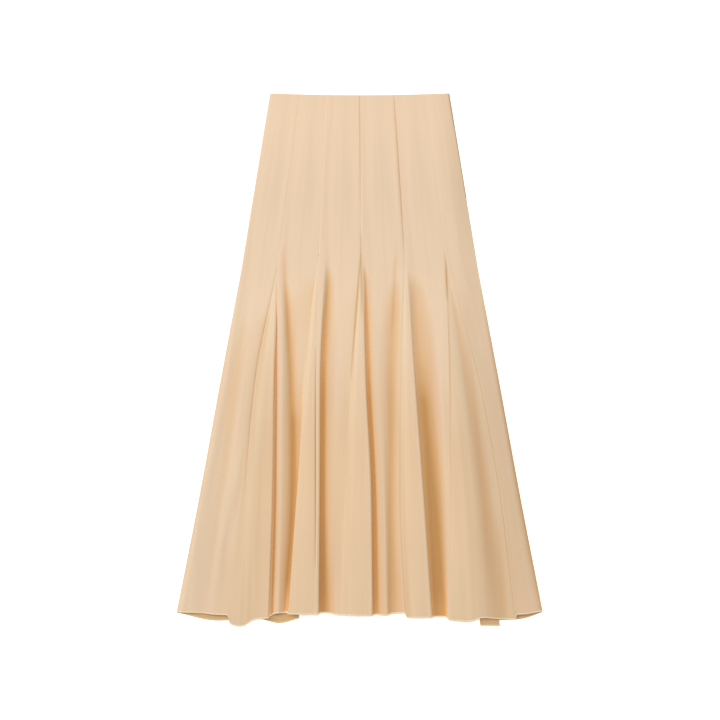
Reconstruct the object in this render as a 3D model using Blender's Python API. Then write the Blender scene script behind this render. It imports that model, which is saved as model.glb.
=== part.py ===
"""Pleated chiffon maxi skirt, laid flat on its back.

+X runs to the right of someone looking down on it, +Y towards the waist and +Z up from the surface
that it lies on. Six gores and five godets make the front, which stands in folds over a plain back of
the same eleven pieces. A concealed zip closes the side seam at +X.
"""

from collections import namedtuple

import bpy
import numpy as np

MM = 0.001

# Driving sizes, all in millimetres.
WAIST_Y = 507.0
WAIST_DIP = 3.6
HALF_WAIST = 170.0
HIP_Y = 171.0
KNEE_Y = -38.0
CALF_Y = -256.0
HEM_Y = -479.0
HALF_HIP = 225.0
WALL = 1.0
SEAM_GAP = 0.3

# Heights of the front's outer face where it lies flat, and along the side edges.
FLAT_HEIGHT = 3.2
EDGE_HEIGHT = 2.5

# A sharp edge: the share of its drop that it reaches back and overhangs, the share at its lip and
# underside, how far its lines stay apart where it is flat, and the drop from which it overhangs.
EDGE_ROUNDING = 0.3
EDGE_OVERHANG = 0.25
LIP_DROP = 0.2
UNDERSIDE_DROP = 0.5
EDGE_SPREAD = 0.8
LEAST_OVERHANG_DROP = 4.5

# A godet's folds grow over this length below its tip.
GODET_OPENING = 110.0
# This far below the tip a fold has this share of its height at the knee.
TIP_REACH = 60.0
TIP_SHARE = 0.45
# At the calf a fold has this share of its height at the hem, and the rest of its height at the knee.
HEM_SHARE_AT_CALF = 0.65

# Points across the front: one for each COLUMN_STEP between two lines more than SMALL_GAP apart.
COLUMN_STEP = 9.0
SMALL_GAP = 5.0
FEWEST_COLUMNS = 2
MOST_COLUMNS = 4
NORMAL_STEP = 0.2

ZIP_LENGTH = 200.0
ZIP_WIDTH = 2.4
ZIP_HEIGHT = 2.4
ZIP_CENTRE_HEIGHT = 1.6
ZIP_SIDES = 8
ZIP_SECTIONS = 5

# Where the seams leave the waist, from -X to +X, and where they have reached at the godets' tips.
WAIST_SEAMS = (-HALF_WAIST, -115.0, -63.5, 0.5, 65.5, 127.5, HALF_WAIST)
HIP_SEAMS = (-HALF_HIP, -157.0, -78.0, 2.5, 86.5, 164.0, HALF_HIP)

# Heights down the skirt at which its sections are drawn; the godets' tips lie on four of them.
STATIONS = (
    WAIST_Y, 400.0, 307.0, 203.0, 187.0, HIP_Y, 155.0, 120.0, 82.0, 42.0, 2.0, KNEE_Y,
    -85.0, -130.0, -172.0, -214.0, CALF_Y, -300.0, -345.0, -390.0, -435.0, HEM_Y,
)
BACK_STATIONS = (WAIST_Y, 307.0, 203.0, HIP_Y, KNEE_Y, CALF_Y, -390.0, HEM_Y)

Fold = namedtuple("Fold", "name tip_y x_hip x_knee x_calf x_hem z_knee z_hem y_hem edge")

# One row for each fold, seam and valley of the front, from -X to +X: the height of the godet tip it
# starts from, its place across the skirt at four heights, how high it stands at two, where the hem
# crosses it, and which way a sharp edge there leans (+1 to +X, -1 to -X, 0 for a soft fold).
FOLDS = (
    Fold("side", 171, -225, -264.0, -304.0, -347.5, 2.5, 2.5, -478.5, 0),
    Fold("side_roll", 171, -216, -254.0, -293.0, -335.0, 6.0, 7.0, -479.0, 0),
    Fold("gore_1_dip", 171, -204, -236.0, -264.0, -299.0, 4.5, 5.0, -480.5, 0),
    Fold("gore_1_crest", 171, -186, -218.0, -247.0, -275.0, 7.0, 7.6, -483.0, 0),
    Fold("gore_1_slope", 171, -173, -209.0, -234.5, -252.5, 6.8, 7.2, -484.0, 0),
    Fold("gore_1_low", 171, -163, -202.0, -225.0, -245.0, 6.0, 6.6, -500.5, 0),
    Fold("seam_1_left", 171, -157, -198.0, -218.0, -231.5, 5.4, 6.0, -505.0, 0),
    Fold("godet_1_low", 171, -157, -194.5, -213.0, -220.5, 5.4, 5.8, -504.5, 0),
    Fold("godet_1_rise", 171, -157, -190.0, -207.5, -209.5, 6.4, 6.8, -497.5, 0),
    Fold("godet_1_crest", 171, -157, -182.0, -199.0, -197.0, 9.6, 10.2, -491.0, 0),
    Fold("godet_1_edge", 171, -157, -162.0, -165.0, -172.0, 11.5, 12.5, -489.5, 1),
    Fold("seam_1_right", 171, -157, -158.5, -160.5, -166.5, 4.2, 4.0, -484.0, 0),
    Fold("gore_2_step", 171, -154, -154.5, -155.0, -160.5, 8.8, 9.4, -481.0, 0),
    Fold("gore_2_band", 171, -148, -147.5, -148.5, -154.5, 10.0, 10.8, -480.0, 0),
    Fold("gore_2_valley", 187, -142, -129.0, -125.0, -140.0, 2.6, 2.6, -480.0, 0),
    Fold("gore_2_rise", 187, -133, -117.0, -119.0, -134.0, 6.6, 3.0, -480.5, 0),
    Fold("seam_2_left", 203, -78, -105.5, -113.0, -128.0, 8.0, 3.6, -481.0, 0),
    Fold("godet_2_edge", 203, -78, -102.0, -119.5, -136.0, 11.8, 13.5, -481.5, -1),
    Fold("godet_2_crest", 203, -78, -93.0, -100.0, -107.0, 13.0, 15.0, -482.0, 0),
    Fold("seam_2_right", 203, -78, -82.5, -82.5, -83.5, 12.0, 14.0, -482.0, 0),
    Fold("gore_3_edge", 203, -63.5, -74.5, -75.5, -77.0, 12.5, 14.0, -482.0, 1),
    Fold("gore_3_valley", 203, -56.5, -68.3, -70.0, -70.5, 2.6, 2.6, -480.5, 0),
    Fold("gore_3_rise", 203, -47.5, -58.3, -60.5, -52.0, 7.0, 7.2, -481.5, 0),
    Fold("gore_3_crest", 203, -36, -40.0, -45.0, -46.0, 9.5, 11.0, -482.5, 0),
    Fold("seam_3_left", 203, 2.5, -16.5, -28.5, -36.5, 10.0, 11.5, -483.0, 0),
    Fold("godet_3_crest", 203, 2.5, -4.0, -5.0, -6.5, 13.0, 15.0, -484.0, 0),
    Fold("seam_3_right", 203, 2.5, 7.5, 16.5, 18.5, 12.5, 14.5, -484.5, 0),
    Fold("gore_4_edge", 203, 6, 12.0, 22.5, 25.0, 12.5, 14.5, -484.5, 1),
    Fold("gore_4_slot", 203, 10, 17.5, 28.0, 31.5, 2.8, 2.8, -484.0, 0),
    Fold("gore_4_rise", 203, 15, 25.0, 34.5, 41.0, 8.0, 8.8, -484.0, 0),
    Fold("gore_4_crest", 203, 29, 36.0, 46.0, 51.0, 9.4, 10.5, -484.0, 0),
    Fold("gore_4_dip", 187, 70, 60.0, 60.0, 61.0, 4.6, 4.6, -482.0, 0),
    Fold("gore_4_edge_right", 187, 83, 75.5, 75.0, 86.0, 9.6, 10.6, -479.5, 1),
    Fold("seam_4_left", 187, 86.5, 78.5, 78.0, 88.5, 9.6, 9.8, -486.5, 0),
    Fold("godet_4_rise", 187, 86.5, 80.5, 81.0, 92.0, 9.8, 10.0, -489.0, 0),
    Fold("godet_4_crest", 187, 86.5, 92.0, 101.0, 112.0, 13.0, 15.0, -488.0, 0),
    Fold("seam_4_right", 187, 86.5, 101.0, 116.0, 131.5, 12.5, 14.0, -488.0, 0),
    Fold("gore_5_edge", 187, 90, 105.5, 122.0, 138.0, 12.5, 14.0, -488.0, 1),
    Fold("gore_5_valley", 187, 97, 119.0, 137.0, 150.0, 2.8, 2.6, -488.0, 0),
    Fold("gore_5_rise", 187, 114, 136.0, 150.0, 161.0, 5.4, 3.0, -488.5, 0),
    Fold("gore_5_crest", 187, 142, 159.0, 166.5, 167.5, 9.5, 11.0, -491.0, 0),
    Fold("seam_5_left", 187, 164, 171.0, 174.0, 170.5, 10.0, 12.0, -493.0, 0),
    Fold("godet_5_crest", 187, 164, 180.0, 196.0, 206.0, 9.5, 12.0, -495.5, 0),
    Fold("godet_5_slope", 187, 164, 193.0, 216.5, 235.0, 7.3, 8.7, -489.0, 0),
    Fold("godet_5_dip", 187, 164, 207.0, 238.0, 268.5, 4.8, 5.0, -492.0, 0),
    Fold("seam_5_right", 187, 164, 227.0, 267.0, 295.5, 7.5, 9.5, -491.5, 0),
    Fold("gore_6_step", 187, 166.5, 229.5, 270.0, 299.0, 7.6, 9.7, -483.0, 0),
    Fold("gore_6_crest", 187, 190, 240.0, 281.0, 316.0, 8.0, 10.5, -481.5, 0),
    Fold("side_roll", 171, 216, 256.0, 295.0, 336.0, 6.0, 7.0, -478.5, 0),
    Fold("side", 171, 225, 264.5, 304.5, 347.5, 2.5, 2.5, -477.5, 0),
)

FRONT_PIECES = (
    "front_gore_1", "front_godet_1", "front_gore_2", "front_godet_2", "front_gore_3", "front_godet_3",
    "front_gore_4", "front_godet_4", "front_gore_5", "front_godet_5", "front_gore_6",
)
# The tip of each front godet, and the first station below it, where its cloth begins.
FRONT_GODET_TIPS = {
    "front_godet_1": (171.0, 155.0),
    "front_godet_2": (203.0, 187.0),
    "front_godet_3": (203.0, 187.0),
    "front_godet_4": (187.0, 171.0),
    "front_godet_5": (187.0, 171.0),
}

BackPiece = namedtuple("BackPiece", "name x_left x_right y_left y_middle y_right")

# The back's pieces at the hem: their ends across the skirt, and where the hem crosses them.
BACK_PIECES = (
    BackPiece("back_gore_1", -347.5, -190.0, -479.5, -494.8, -488.0),
    BackPiece("back_godet_1", -190.0, -115.5, -490.0, -499.5, -490.5),
    BackPiece("back_gore_2", -115.5, -72.0, -476.0, -476.0, -476.0),
    BackPiece("back_godet_2", -72.0, -32.0, -476.0, -476.0, -476.0),
    BackPiece("back_gore_3", -32.0, 14.0, -476.0, -476.0, -476.0),
    BackPiece("back_godet_3", 14.0, 54.0, -476.0, -476.0, -476.0),
    BackPiece("back_gore_4", 54.0, 100.0, -476.0, -476.0, -476.0),
    BackPiece("back_godet_4", 100.0, 140.0, -476.0, -476.0, -476.0),
    BackPiece("back_gore_5", 140.0, 227.0, -476.0, -476.0, -476.0),
    BackPiece("back_godet_5", 227.0, 263.0, -504.5, -504.6, -504.8),
    BackPiece("back_gore_6", 263.0, 347.5, -494.0, -491.5, -478.5),
)
BACK_TIP_Y = 203.0
BACK_GODET_TOP = HIP_Y
BACK_COLUMNS = 4

CHIFFON = (0.80, 0.61, 0.44)
GODET_CHIFFON = (0.83, 0.65, 0.48)
BACK_CHIFFON = (0.72, 0.53, 0.37)
ZIP_TAPE = (0.55, 0.46, 0.30)


def smooth_step(value):
    """Rises smoothly from 0 to 1 as the value does."""
    value = np.clip(value, 0.0, 1.0)
    return value * value * (3.0 - 2.0 * value)


def tangents(places, values):
    """Slopes of a curve through the values that never swings past them; rows run along axis 0."""
    steps = np.diff(places)
    slopes = np.diff(values, axis=0) / steps.reshape(-1, *([1] * (values.ndim - 1)))
    before, after = slopes[:-1], slopes[1:]
    total = before + after
    same_way = before * after > 0
    middle = np.where(same_way, 2.0 * before * after / np.where(same_way, total, 1.0), 0.0)
    return np.concatenate([slopes[:1], middle, slopes[-1:]])


def curve_through(places, values, at):
    """Values of the smooth curve through (places, values) at the places in `at`."""
    places = np.asarray(places, float)
    values = np.asarray(values, float)
    slopes = tangents(places, values)
    at = np.clip(np.asarray(at, float), places[0], places[-1])
    left = np.clip(np.searchsorted(places, at, side="right") - 1, 0, len(places) - 2)
    width = places[left + 1] - places[left]
    shape = (-1, *([1] * (values.ndim - 1)))
    part = ((at - places[left]) / width).reshape(shape)
    width = width.reshape(shape)
    start = values[left] * (1 + 2 * part) * (1 - part) ** 2 + slopes[left] * width * part * (1 - part) ** 2
    end = values[left + 1] * part**2 * (3 - 2 * part) + slopes[left + 1] * width * part**2 * (part - 1)
    return start + end


def fold_lines(stations):
    """Each fold's x, y and z at each station, and its name: arrays of (stations, folds)."""
    stations = np.asarray(stations)
    below_hip = smooth_step((CALF_Y - stations) / (CALF_Y - HEM_Y))
    lines = []
    for fold in FOLDS:
        height = EDGE_HEIGHT if fold.name == "side" else FLAT_HEIGHT
        x_waist = np.interp(fold.x_hip, HIP_SEAMS, WAIST_SEAMS)
        straight = x_waist + (fold.x_hip - x_waist) * (WAIST_Y - stations) / (WAIST_Y - fold.tip_y)
        levels = (HEM_Y, CALF_Y, KNEE_Y, fold.tip_y)
        curved = curve_through(levels, (fold.x_hem, fold.x_calf, fold.x_knee, fold.x_hip), stations)
        x = np.where(stations > fold.tip_y, straight, curved)
        z_calf = fold.z_knee + (fold.z_hem - fold.z_knee) * HEM_SHARE_AT_CALF
        z_begun = height + (fold.z_knee - height) * TIP_SHARE
        heights = (fold.z_hem, z_calf, fold.z_knee, z_begun, height, height)
        levels = (HEM_Y, CALF_Y, KNEE_Y, fold.tip_y - TIP_REACH, fold.tip_y, WAIST_Y)
        z = curve_through(levels, heights, stations)
        y = stations + (fold.y_hem - HEM_Y) * below_hip
        y = y - np.where(stations == WAIST_Y, WAIST_DIP * (1 - (x / HALF_WAIST) ** 2), 0.0)
        lines.append((x, y, z))
    return np.array(lines).transpose(2, 1, 0)


def sharp_edge(edge, low, lean, opened):
    """Three lines that round a sharp edge over: its top, its lip and its underside."""
    x, y, z = edge
    drop = np.maximum(z - low[2], 0.0)
    overhang = smooth_step((drop - LEAST_OVERHANG_DROP) / LEAST_OVERHANG_DROP)
    reach = (EDGE_SPREAD + EDGE_ROUNDING * drop) * opened
    top = (x - lean * reach, y, z)
    lip = (x, y, z - LIP_DROP * drop)
    under_x = x + lean * (reach - (reach + EDGE_OVERHANG * drop) * overhang)
    under = (under_x, y, z - UNDERSIDE_DROP * drop)
    return (top, lip, under) if lean > 0 else (under, lip, top)


def front_lines(stations):
    """The lines that the front's sections run through, (stations, 3, lines), and each seam's index."""
    lines = fold_lines(stations)
    built = []
    seams = []
    for index, fold in enumerate(FOLDS):
        line = lines[:, :, index].T
        if fold.name == "side" or fold.name.startswith("seam"):
            seams.append(len(built))
        if fold.edge:
            low = lines[:, :, index + fold.edge].T
            opened = smooth_step((fold.tip_y - line[1]) / GODET_OPENING) if "godet" in fold.name else 1.0
            built.extend(sharp_edge(line, low, fold.edge, opened))
        else:
            built.append(tuple(line))
    return np.array(built).transpose(2, 1, 0), seams


def zip_inset(y):
    """How far the cloth stops short of the side line to leave room for the zip."""
    return np.where(y >= WAIST_Y - ZIP_LENGTH, ZIP_WIDTH + SEAM_GAP, 0.0)


def column_places(lines):
    """Places between the lines at which points are set, closer where the cloth turns most."""
    lower = lines[np.array(STATIONS) < KNEE_Y]
    gaps = np.linalg.norm(np.diff(lower, axis=2), axis=1).max(axis=0)
    places = [0.0]
    for index, gap in enumerate(gaps):
        wide = int(np.clip(np.ceil(gap / COLUMN_STEP), FEWEST_COLUMNS, MOST_COLUMNS))
        count = wide if gap > SMALL_GAP else 1
        places.extend(index + (step + 1) / count for step in range(count))
    return np.array(places)


def section_points(lines, places):
    """Points of each section at the given places: (stations, places, 3)."""
    numbers = np.arange(lines.shape[2])
    return np.array([curve_through(numbers, section.T, places) for section in lines])


def outward_normals(lines, places):
    """Directions out of the cloth at each point, straight up where its lines run together."""
    across = section_points(lines, places + NORMAL_STEP) - section_points(lines, places - NORMAL_STEP)
    along = np.gradient(section_points(lines, places), axis=0)
    normals = np.cross(along, across)
    size = np.linalg.norm(normals, axis=2, keepdims=True)
    return np.where(size > 1e-9, normals / np.maximum(size, 1e-9), (0.0, 0.0, 1.0))


def solid_from_grids(name, top, bottom, colour):
    """One closed wall between two grids of points, which run from the waist down and from -X to +X."""
    rows, columns = top.shape[:2]
    count = rows * columns
    points = np.concatenate([top.reshape(-1, 3), bottom.reshape(-1, 3)]) * MM
    faces = []
    for row in range(rows - 1):
        for column in range(columns - 1):
            a = row * columns + column
            b = a + 1
            c = b + columns
            d = a + columns
            faces.append((a, d, c, b))
            faces.append((a + count, b + count, c + count, d + count))
    rim = [column for column in range(columns)]
    rim += [row * columns + columns - 1 for row in range(1, rows)]
    rim += [(rows - 1) * columns + column for column in range(columns - 2, -1, -1)]
    rim += [row * columns for row in range(rows - 2, 0, -1)]
    for here, there in zip(rim, rim[1:] + rim[:1]):
        faces.append((here, there, there + count, here + count))
    mesh = bpy.data.meshes.new(name)
    mesh.from_pydata(points.tolist(), [], faces)
    mesh.materials.append(material_of(name, colour))
    piece = bpy.data.objects.new(name, mesh)
    bpy.context.scene.collection.objects.link(piece)
    return piece


def material_of(name, colour):
    material = bpy.data.materials.new(name)
    material.use_nodes = True
    shader = material.node_tree.nodes["Principled BSDF"]
    shader.inputs["Base Color"].default_value = (*colour, 1.0)
    shader.inputs["Roughness"].default_value = 0.85
    shader.inputs["Metallic"].default_value = 0.0
    return material


def parted(points, ends):
    """Draw a piece's two side edges in by half the seam gap, along its own sections."""
    points = points.copy()
    for edge, inner in ((0, 1), (-1, -2)):
        if not ends[edge]:
            continue
        towards = points[:, inner] - points[:, edge]
        size = np.linalg.norm(towards, axis=1, keepdims=True)
        points[:, edge] += towards / size * SEAM_GAP / 2
    return points


def evened(points, normals, tip_y):
    """Space a godet's points evenly near its tip, where its folds have only begun."""
    part = np.linspace(0.0, 1.0, points.shape[1])[None, :, None]
    width = points[:, -1:] - points[:, :1]
    gap = width / np.linalg.norm(width, axis=2, keepdims=True) * SEAM_GAP / 2
    even = points[:, :1] + gap + (width - 2 * gap) * part
    opened = smooth_step((tip_y - points[:, :1, 1:2]) / GODET_OPENING)
    flat = np.array((0.0, 0.0, 1.0))
    return even + (parted(points, (True, True)) - even) * opened, flat + (normals - flat) * opened**2


def build_front():
    """The front's eleven pieces, cut from one row of sections at the seams."""
    lines, seams = front_lines(STATIONS)
    lines[:, 0, -1] -= zip_inset(lines[:, 1, -1])
    places = column_places(lines)
    points = section_points(lines, places)
    normals = outward_normals(lines, places)
    stations = np.array(STATIONS)
    last = len(FRONT_PIECES) - 1
    for number, name in enumerate(FRONT_PIECES):
        columns = (places >= seams[number] - 1e-6) & (places <= seams[number + 1] + 1e-6)
        tip_y, start_y = FRONT_GODET_TIPS.get(name, (WAIST_Y, WAIST_Y))
        rows = stations <= start_y
        top = points[rows][:, columns]
        outward = normals[rows][:, columns]
        if name in FRONT_GODET_TIPS:
            top, outward = evened(top, outward, tip_y)
        else:
            top = parted(top, (number > 0, number < last))
        bottom = top - outward * WALL
        colour = GODET_CHIFFON if "godet" in name else CHIFFON
        solid_from_grids(name, top, bottom, colour)


def back_seam(x_waist, x_tip, x_hem, y):
    """A seam of the back: straight from the waist to the godet's tip, then straight to the hem."""
    upper = x_waist + (x_tip - x_waist) * (WAIST_Y - y) / (WAIST_Y - BACK_TIP_Y)
    lower = x_tip + (x_hem - x_tip) * (BACK_TIP_Y - y) / (BACK_TIP_Y - HEM_Y)
    return np.where(y > BACK_TIP_Y, upper, lower)


def build_back():
    """The back's eleven pieces, flat on the surface, with hems that differ a little in length."""
    stations = np.array(BACK_STATIONS)
    sides = fold_lines(stations)
    across = np.linspace(0.0, 1.0, BACK_COLUMNS + 1)
    last = len(BACK_PIECES) - 1
    for number, piece in enumerate(BACK_PIECES):
        left_seam = (number + 1) // 2
        right_seam = number // 2 + 1
        y = stations[stations <= (BACK_GODET_TOP if "godet" in piece.name else WAIST_Y)]
        hem = curve_through((0.0, 0.5, 1.0), (piece.y_left, piece.y_middle, piece.y_right), across)
        low = smooth_step((CALF_Y - y) / (CALF_Y - HEM_Y))[:, None]
        depth = y[:, None] + (hem - HEM_Y) * low
        left = back_seam(WAIST_SEAMS[left_seam], HIP_SEAMS[left_seam], piece.x_left, depth[:, 0])
        right = back_seam(WAIST_SEAMS[right_seam], HIP_SEAMS[right_seam], piece.x_right, depth[:, -1])
        if number == 0:
            left = sides[:, 0, 0]
        if number == last:
            right = sides[:, 0, -1] - zip_inset(y)
        x = left[:, None] + (right - left)[:, None] * across
        dip = np.where(depth == WAIST_Y, WAIST_DIP * (1 - (x / HALF_WAIST) ** 2), 0.0)
        bottom = np.stack([x, depth - dip, np.zeros_like(x)], axis=2)
        bottom = parted(bottom, (number > 0, number < last))
        top = bottom + (0.0, 0.0, WALL)
        solid_from_grids(piece.name, top, bottom, BACK_CHIFFON)


def build_side_zip():
    """The closed zip: a slim rod of folded tape along the side line, from the waist down."""
    y = np.linspace(WAIST_Y, WAIST_Y - ZIP_LENGTH, ZIP_SECTIONS)
    side = fold_lines(y)[:, 0, -1] - ZIP_WIDTH / 2
    angles = np.linspace(0.0, 2 * np.pi, ZIP_SIDES, endpoint=False)
    points = []
    for x, height in zip(side, y):
        for angle in angles:
            across = ZIP_WIDTH / 2 * np.cos(angle)
            up = ZIP_CENTRE_HEIGHT + ZIP_HEIGHT / 2 * np.sin(angle)
            points.append(((x + across) * MM, height * MM, up * MM))
    faces = []
    for ring in range(len(y) - 1):
        for side_number in range(ZIP_SIDES):
            a = ring * ZIP_SIDES + side_number
            b = ring * ZIP_SIDES + (side_number + 1) % ZIP_SIDES
            faces.append((a, b, b + ZIP_SIDES, a + ZIP_SIDES))
    faces.append(tuple(range(ZIP_SIDES - 1, -1, -1)))
    faces.append(tuple(range((len(y) - 1) * ZIP_SIDES, len(y) * ZIP_SIDES)))
    mesh = bpy.data.meshes.new("side_zip")
    mesh.from_pydata(points, [], faces)
    mesh.materials.append(material_of("side_zip", ZIP_TAPE))
    bpy.context.scene.collection.objects.link(bpy.data.objects.new("side_zip", mesh))


def main():
    for leftover in list(bpy.data.objects):
        bpy.data.objects.remove(leftover)
    build_front()
    build_back()
    build_side_zip()


main()
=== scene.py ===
"""Looks of the pleated chiffon maxi skirt, laid flat on its back.

Every panel of the skirt is a thin shell of chiffon over the frame's solid of that panel, drawn from the
same folds at a finer step, with its seams, turned waist edge, rolled hem and small creases. Sizes in the
tables are millimetres; a mesh is metres.
"""

from collections import namedtuple

import bpy
import numpy as np
from bpy.props import FloatProperty, FloatVectorProperty, PointerProperty
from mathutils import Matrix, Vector


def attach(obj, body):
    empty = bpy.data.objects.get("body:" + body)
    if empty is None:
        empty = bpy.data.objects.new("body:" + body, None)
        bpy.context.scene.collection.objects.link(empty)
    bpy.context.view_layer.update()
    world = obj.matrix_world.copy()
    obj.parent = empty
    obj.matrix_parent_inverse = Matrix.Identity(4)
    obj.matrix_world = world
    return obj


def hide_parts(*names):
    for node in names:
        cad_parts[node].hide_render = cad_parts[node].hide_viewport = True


bl_info = {
    "name": "Chiffon Skirt",
    "version": (1, 0, 0),
    "blender": (4, 5, 0),
    "location": "3D View > Sidebar > Skirt",
    "description": "Builds the cloth, zip, stitching and stage of a godet skirt laid flat",
    "category": "Add Mesh",
}

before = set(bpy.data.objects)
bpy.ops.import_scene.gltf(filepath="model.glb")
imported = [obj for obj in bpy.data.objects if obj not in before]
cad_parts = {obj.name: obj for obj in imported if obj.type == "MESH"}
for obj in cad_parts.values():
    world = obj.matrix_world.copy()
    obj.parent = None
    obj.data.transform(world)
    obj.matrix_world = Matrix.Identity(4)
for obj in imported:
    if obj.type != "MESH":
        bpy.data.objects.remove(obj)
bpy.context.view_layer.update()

MM = 0.001
BODY = "root"

# Driving sizes of the skirt.
WAIST_Y = 507.0
WAIST_DIP = 3.6
WAIST_DIP_END = 400.0
HALF_WAIST = 170.0
HIP_Y = 171.0
KNEE_Y = -38.0
CALF_Y = -256.0
HEM_Y = -479.0
HALF_HIP = 225.0
FLAT_HEIGHT = 3.2
EDGE_HEIGHT = 2.5

# A sharp edge: see sharp_edge.
EDGE_ROUNDING = 0.3
EDGE_OVERHANG = 0.25
LIP_DROP = 0.2
UNDERSIDE_DROP = 0.5
EDGE_SPREAD = 0.8
LEAST_OVERHANG_DROP = 4.5
GODET_OPENING = 110.0
# This far below the tip a fold has this share of its height at the knee.
TIP_REACH = 60.0
TIP_SHARE = 0.45
HEM_SHARE_AT_CALF = 0.65

# Steps of the grids, and the closer rows and columns at waist, hem and seams.
ROW_STEP = 6.0
COLUMN_STEP = 2.2
BACK_ROW_STEP = 9.0
BACK_COLUMN_STEP = 4.5
LEAST_BACK_WIDTH = 60.0
WAIST_ROWS = (0.0, 0.35, 0.8, 1.4, 2.2, 3.4)
HEM_ROWS = (0.0, 0.3, 0.8, 1.4, 2.0, 2.5, 2.9, 3.5, 4.6)
HEM_STITCH_ROW = 6
STITCH_LIFT = 0.05
EDGE_COLUMNS = (0.3, 0.7, 1.2, 1.8)
# The closer columns beside a seam take up at most this share of one column's width.
EDGE_COLUMN_ROOM = 0.8
NORMAL_STEP = 0.2

# How much thicker than one layer the rolled hem is, and the stitches' line above it: its depth as a
# share of the hem's rise, its distance from the roll and its half width.
ROLL_FULLNESS = 0.8
HEM_LINE = (0.25, 0.4, 0.5)
# How edges turn in at the end of the cloth: from how far, and how deep. See rim_drop. Between its
# panels the back has only a groove of this depth.
WAIST_TURN = (1.6, 0.8)
HEM_TURN = (1.0, 0.5)
SIDE_TURN = (1.4, EDGE_HEIGHT - 1.45)
BACK_WAIST_TURN = (1.6, 0.4)
BACK_HEM_TURN = (1.0, 0.25)
BACK_SIDE_TURN = (1.4, 0.5)
BACK_GROOVE = 0.35

ZIP_LENGTH = 200.0
ZIP_INSET = 1.2
ZIP_SHOWS = 72.0
ZIP_SHOWS_FADE = 15.0
ZIP_HIDDEN_INSET = 0.25 * ZIP_INSET
# The two folded tapes: how many sides their profile has, its half sizes across and up, and where the
# middle of each stands. Then the same place for the coil.
ZIP_SIDES = 12
ZIP_LIP = (0.97, 0.62)
ZIP_LIP_HEIGHTS = (2.05, 0.8)
ZIP_FROM_SIDE = 0.72
ZIP_ROWS = 60
COIL_FROM_SIDE = 0.75
COIL_HEIGHT = 1.42
# How far below the waist the tape and the coil start, and how far above the zip's end the coil ends.
TAPE_START = 0.6
COIL_START = 2.0
COIL_END = 1.0
SEAM_PARTING = 0.04


def table(kind, *rows):
    """A table's rows, each as a named tuple of its kind."""
    return [kind(*row) for row in rows]


# Where the seams leave the waist, from -X to +X, and where they have reached at the godets' tips.
WAIST_SEAMS = (-HALF_WAIST, -115.0, -63.5, 0.5, 65.5, 127.5, HALF_WAIST)
HIP_SEAMS = (-HALF_HIP, -157.0, -78.0, 2.5, 86.5, 164.0, HALF_HIP)

Fold = namedtuple("Fold", "name tip_y x_hip x_knee x_calf x_hem z_knee z_hem y_hem edge")

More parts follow.
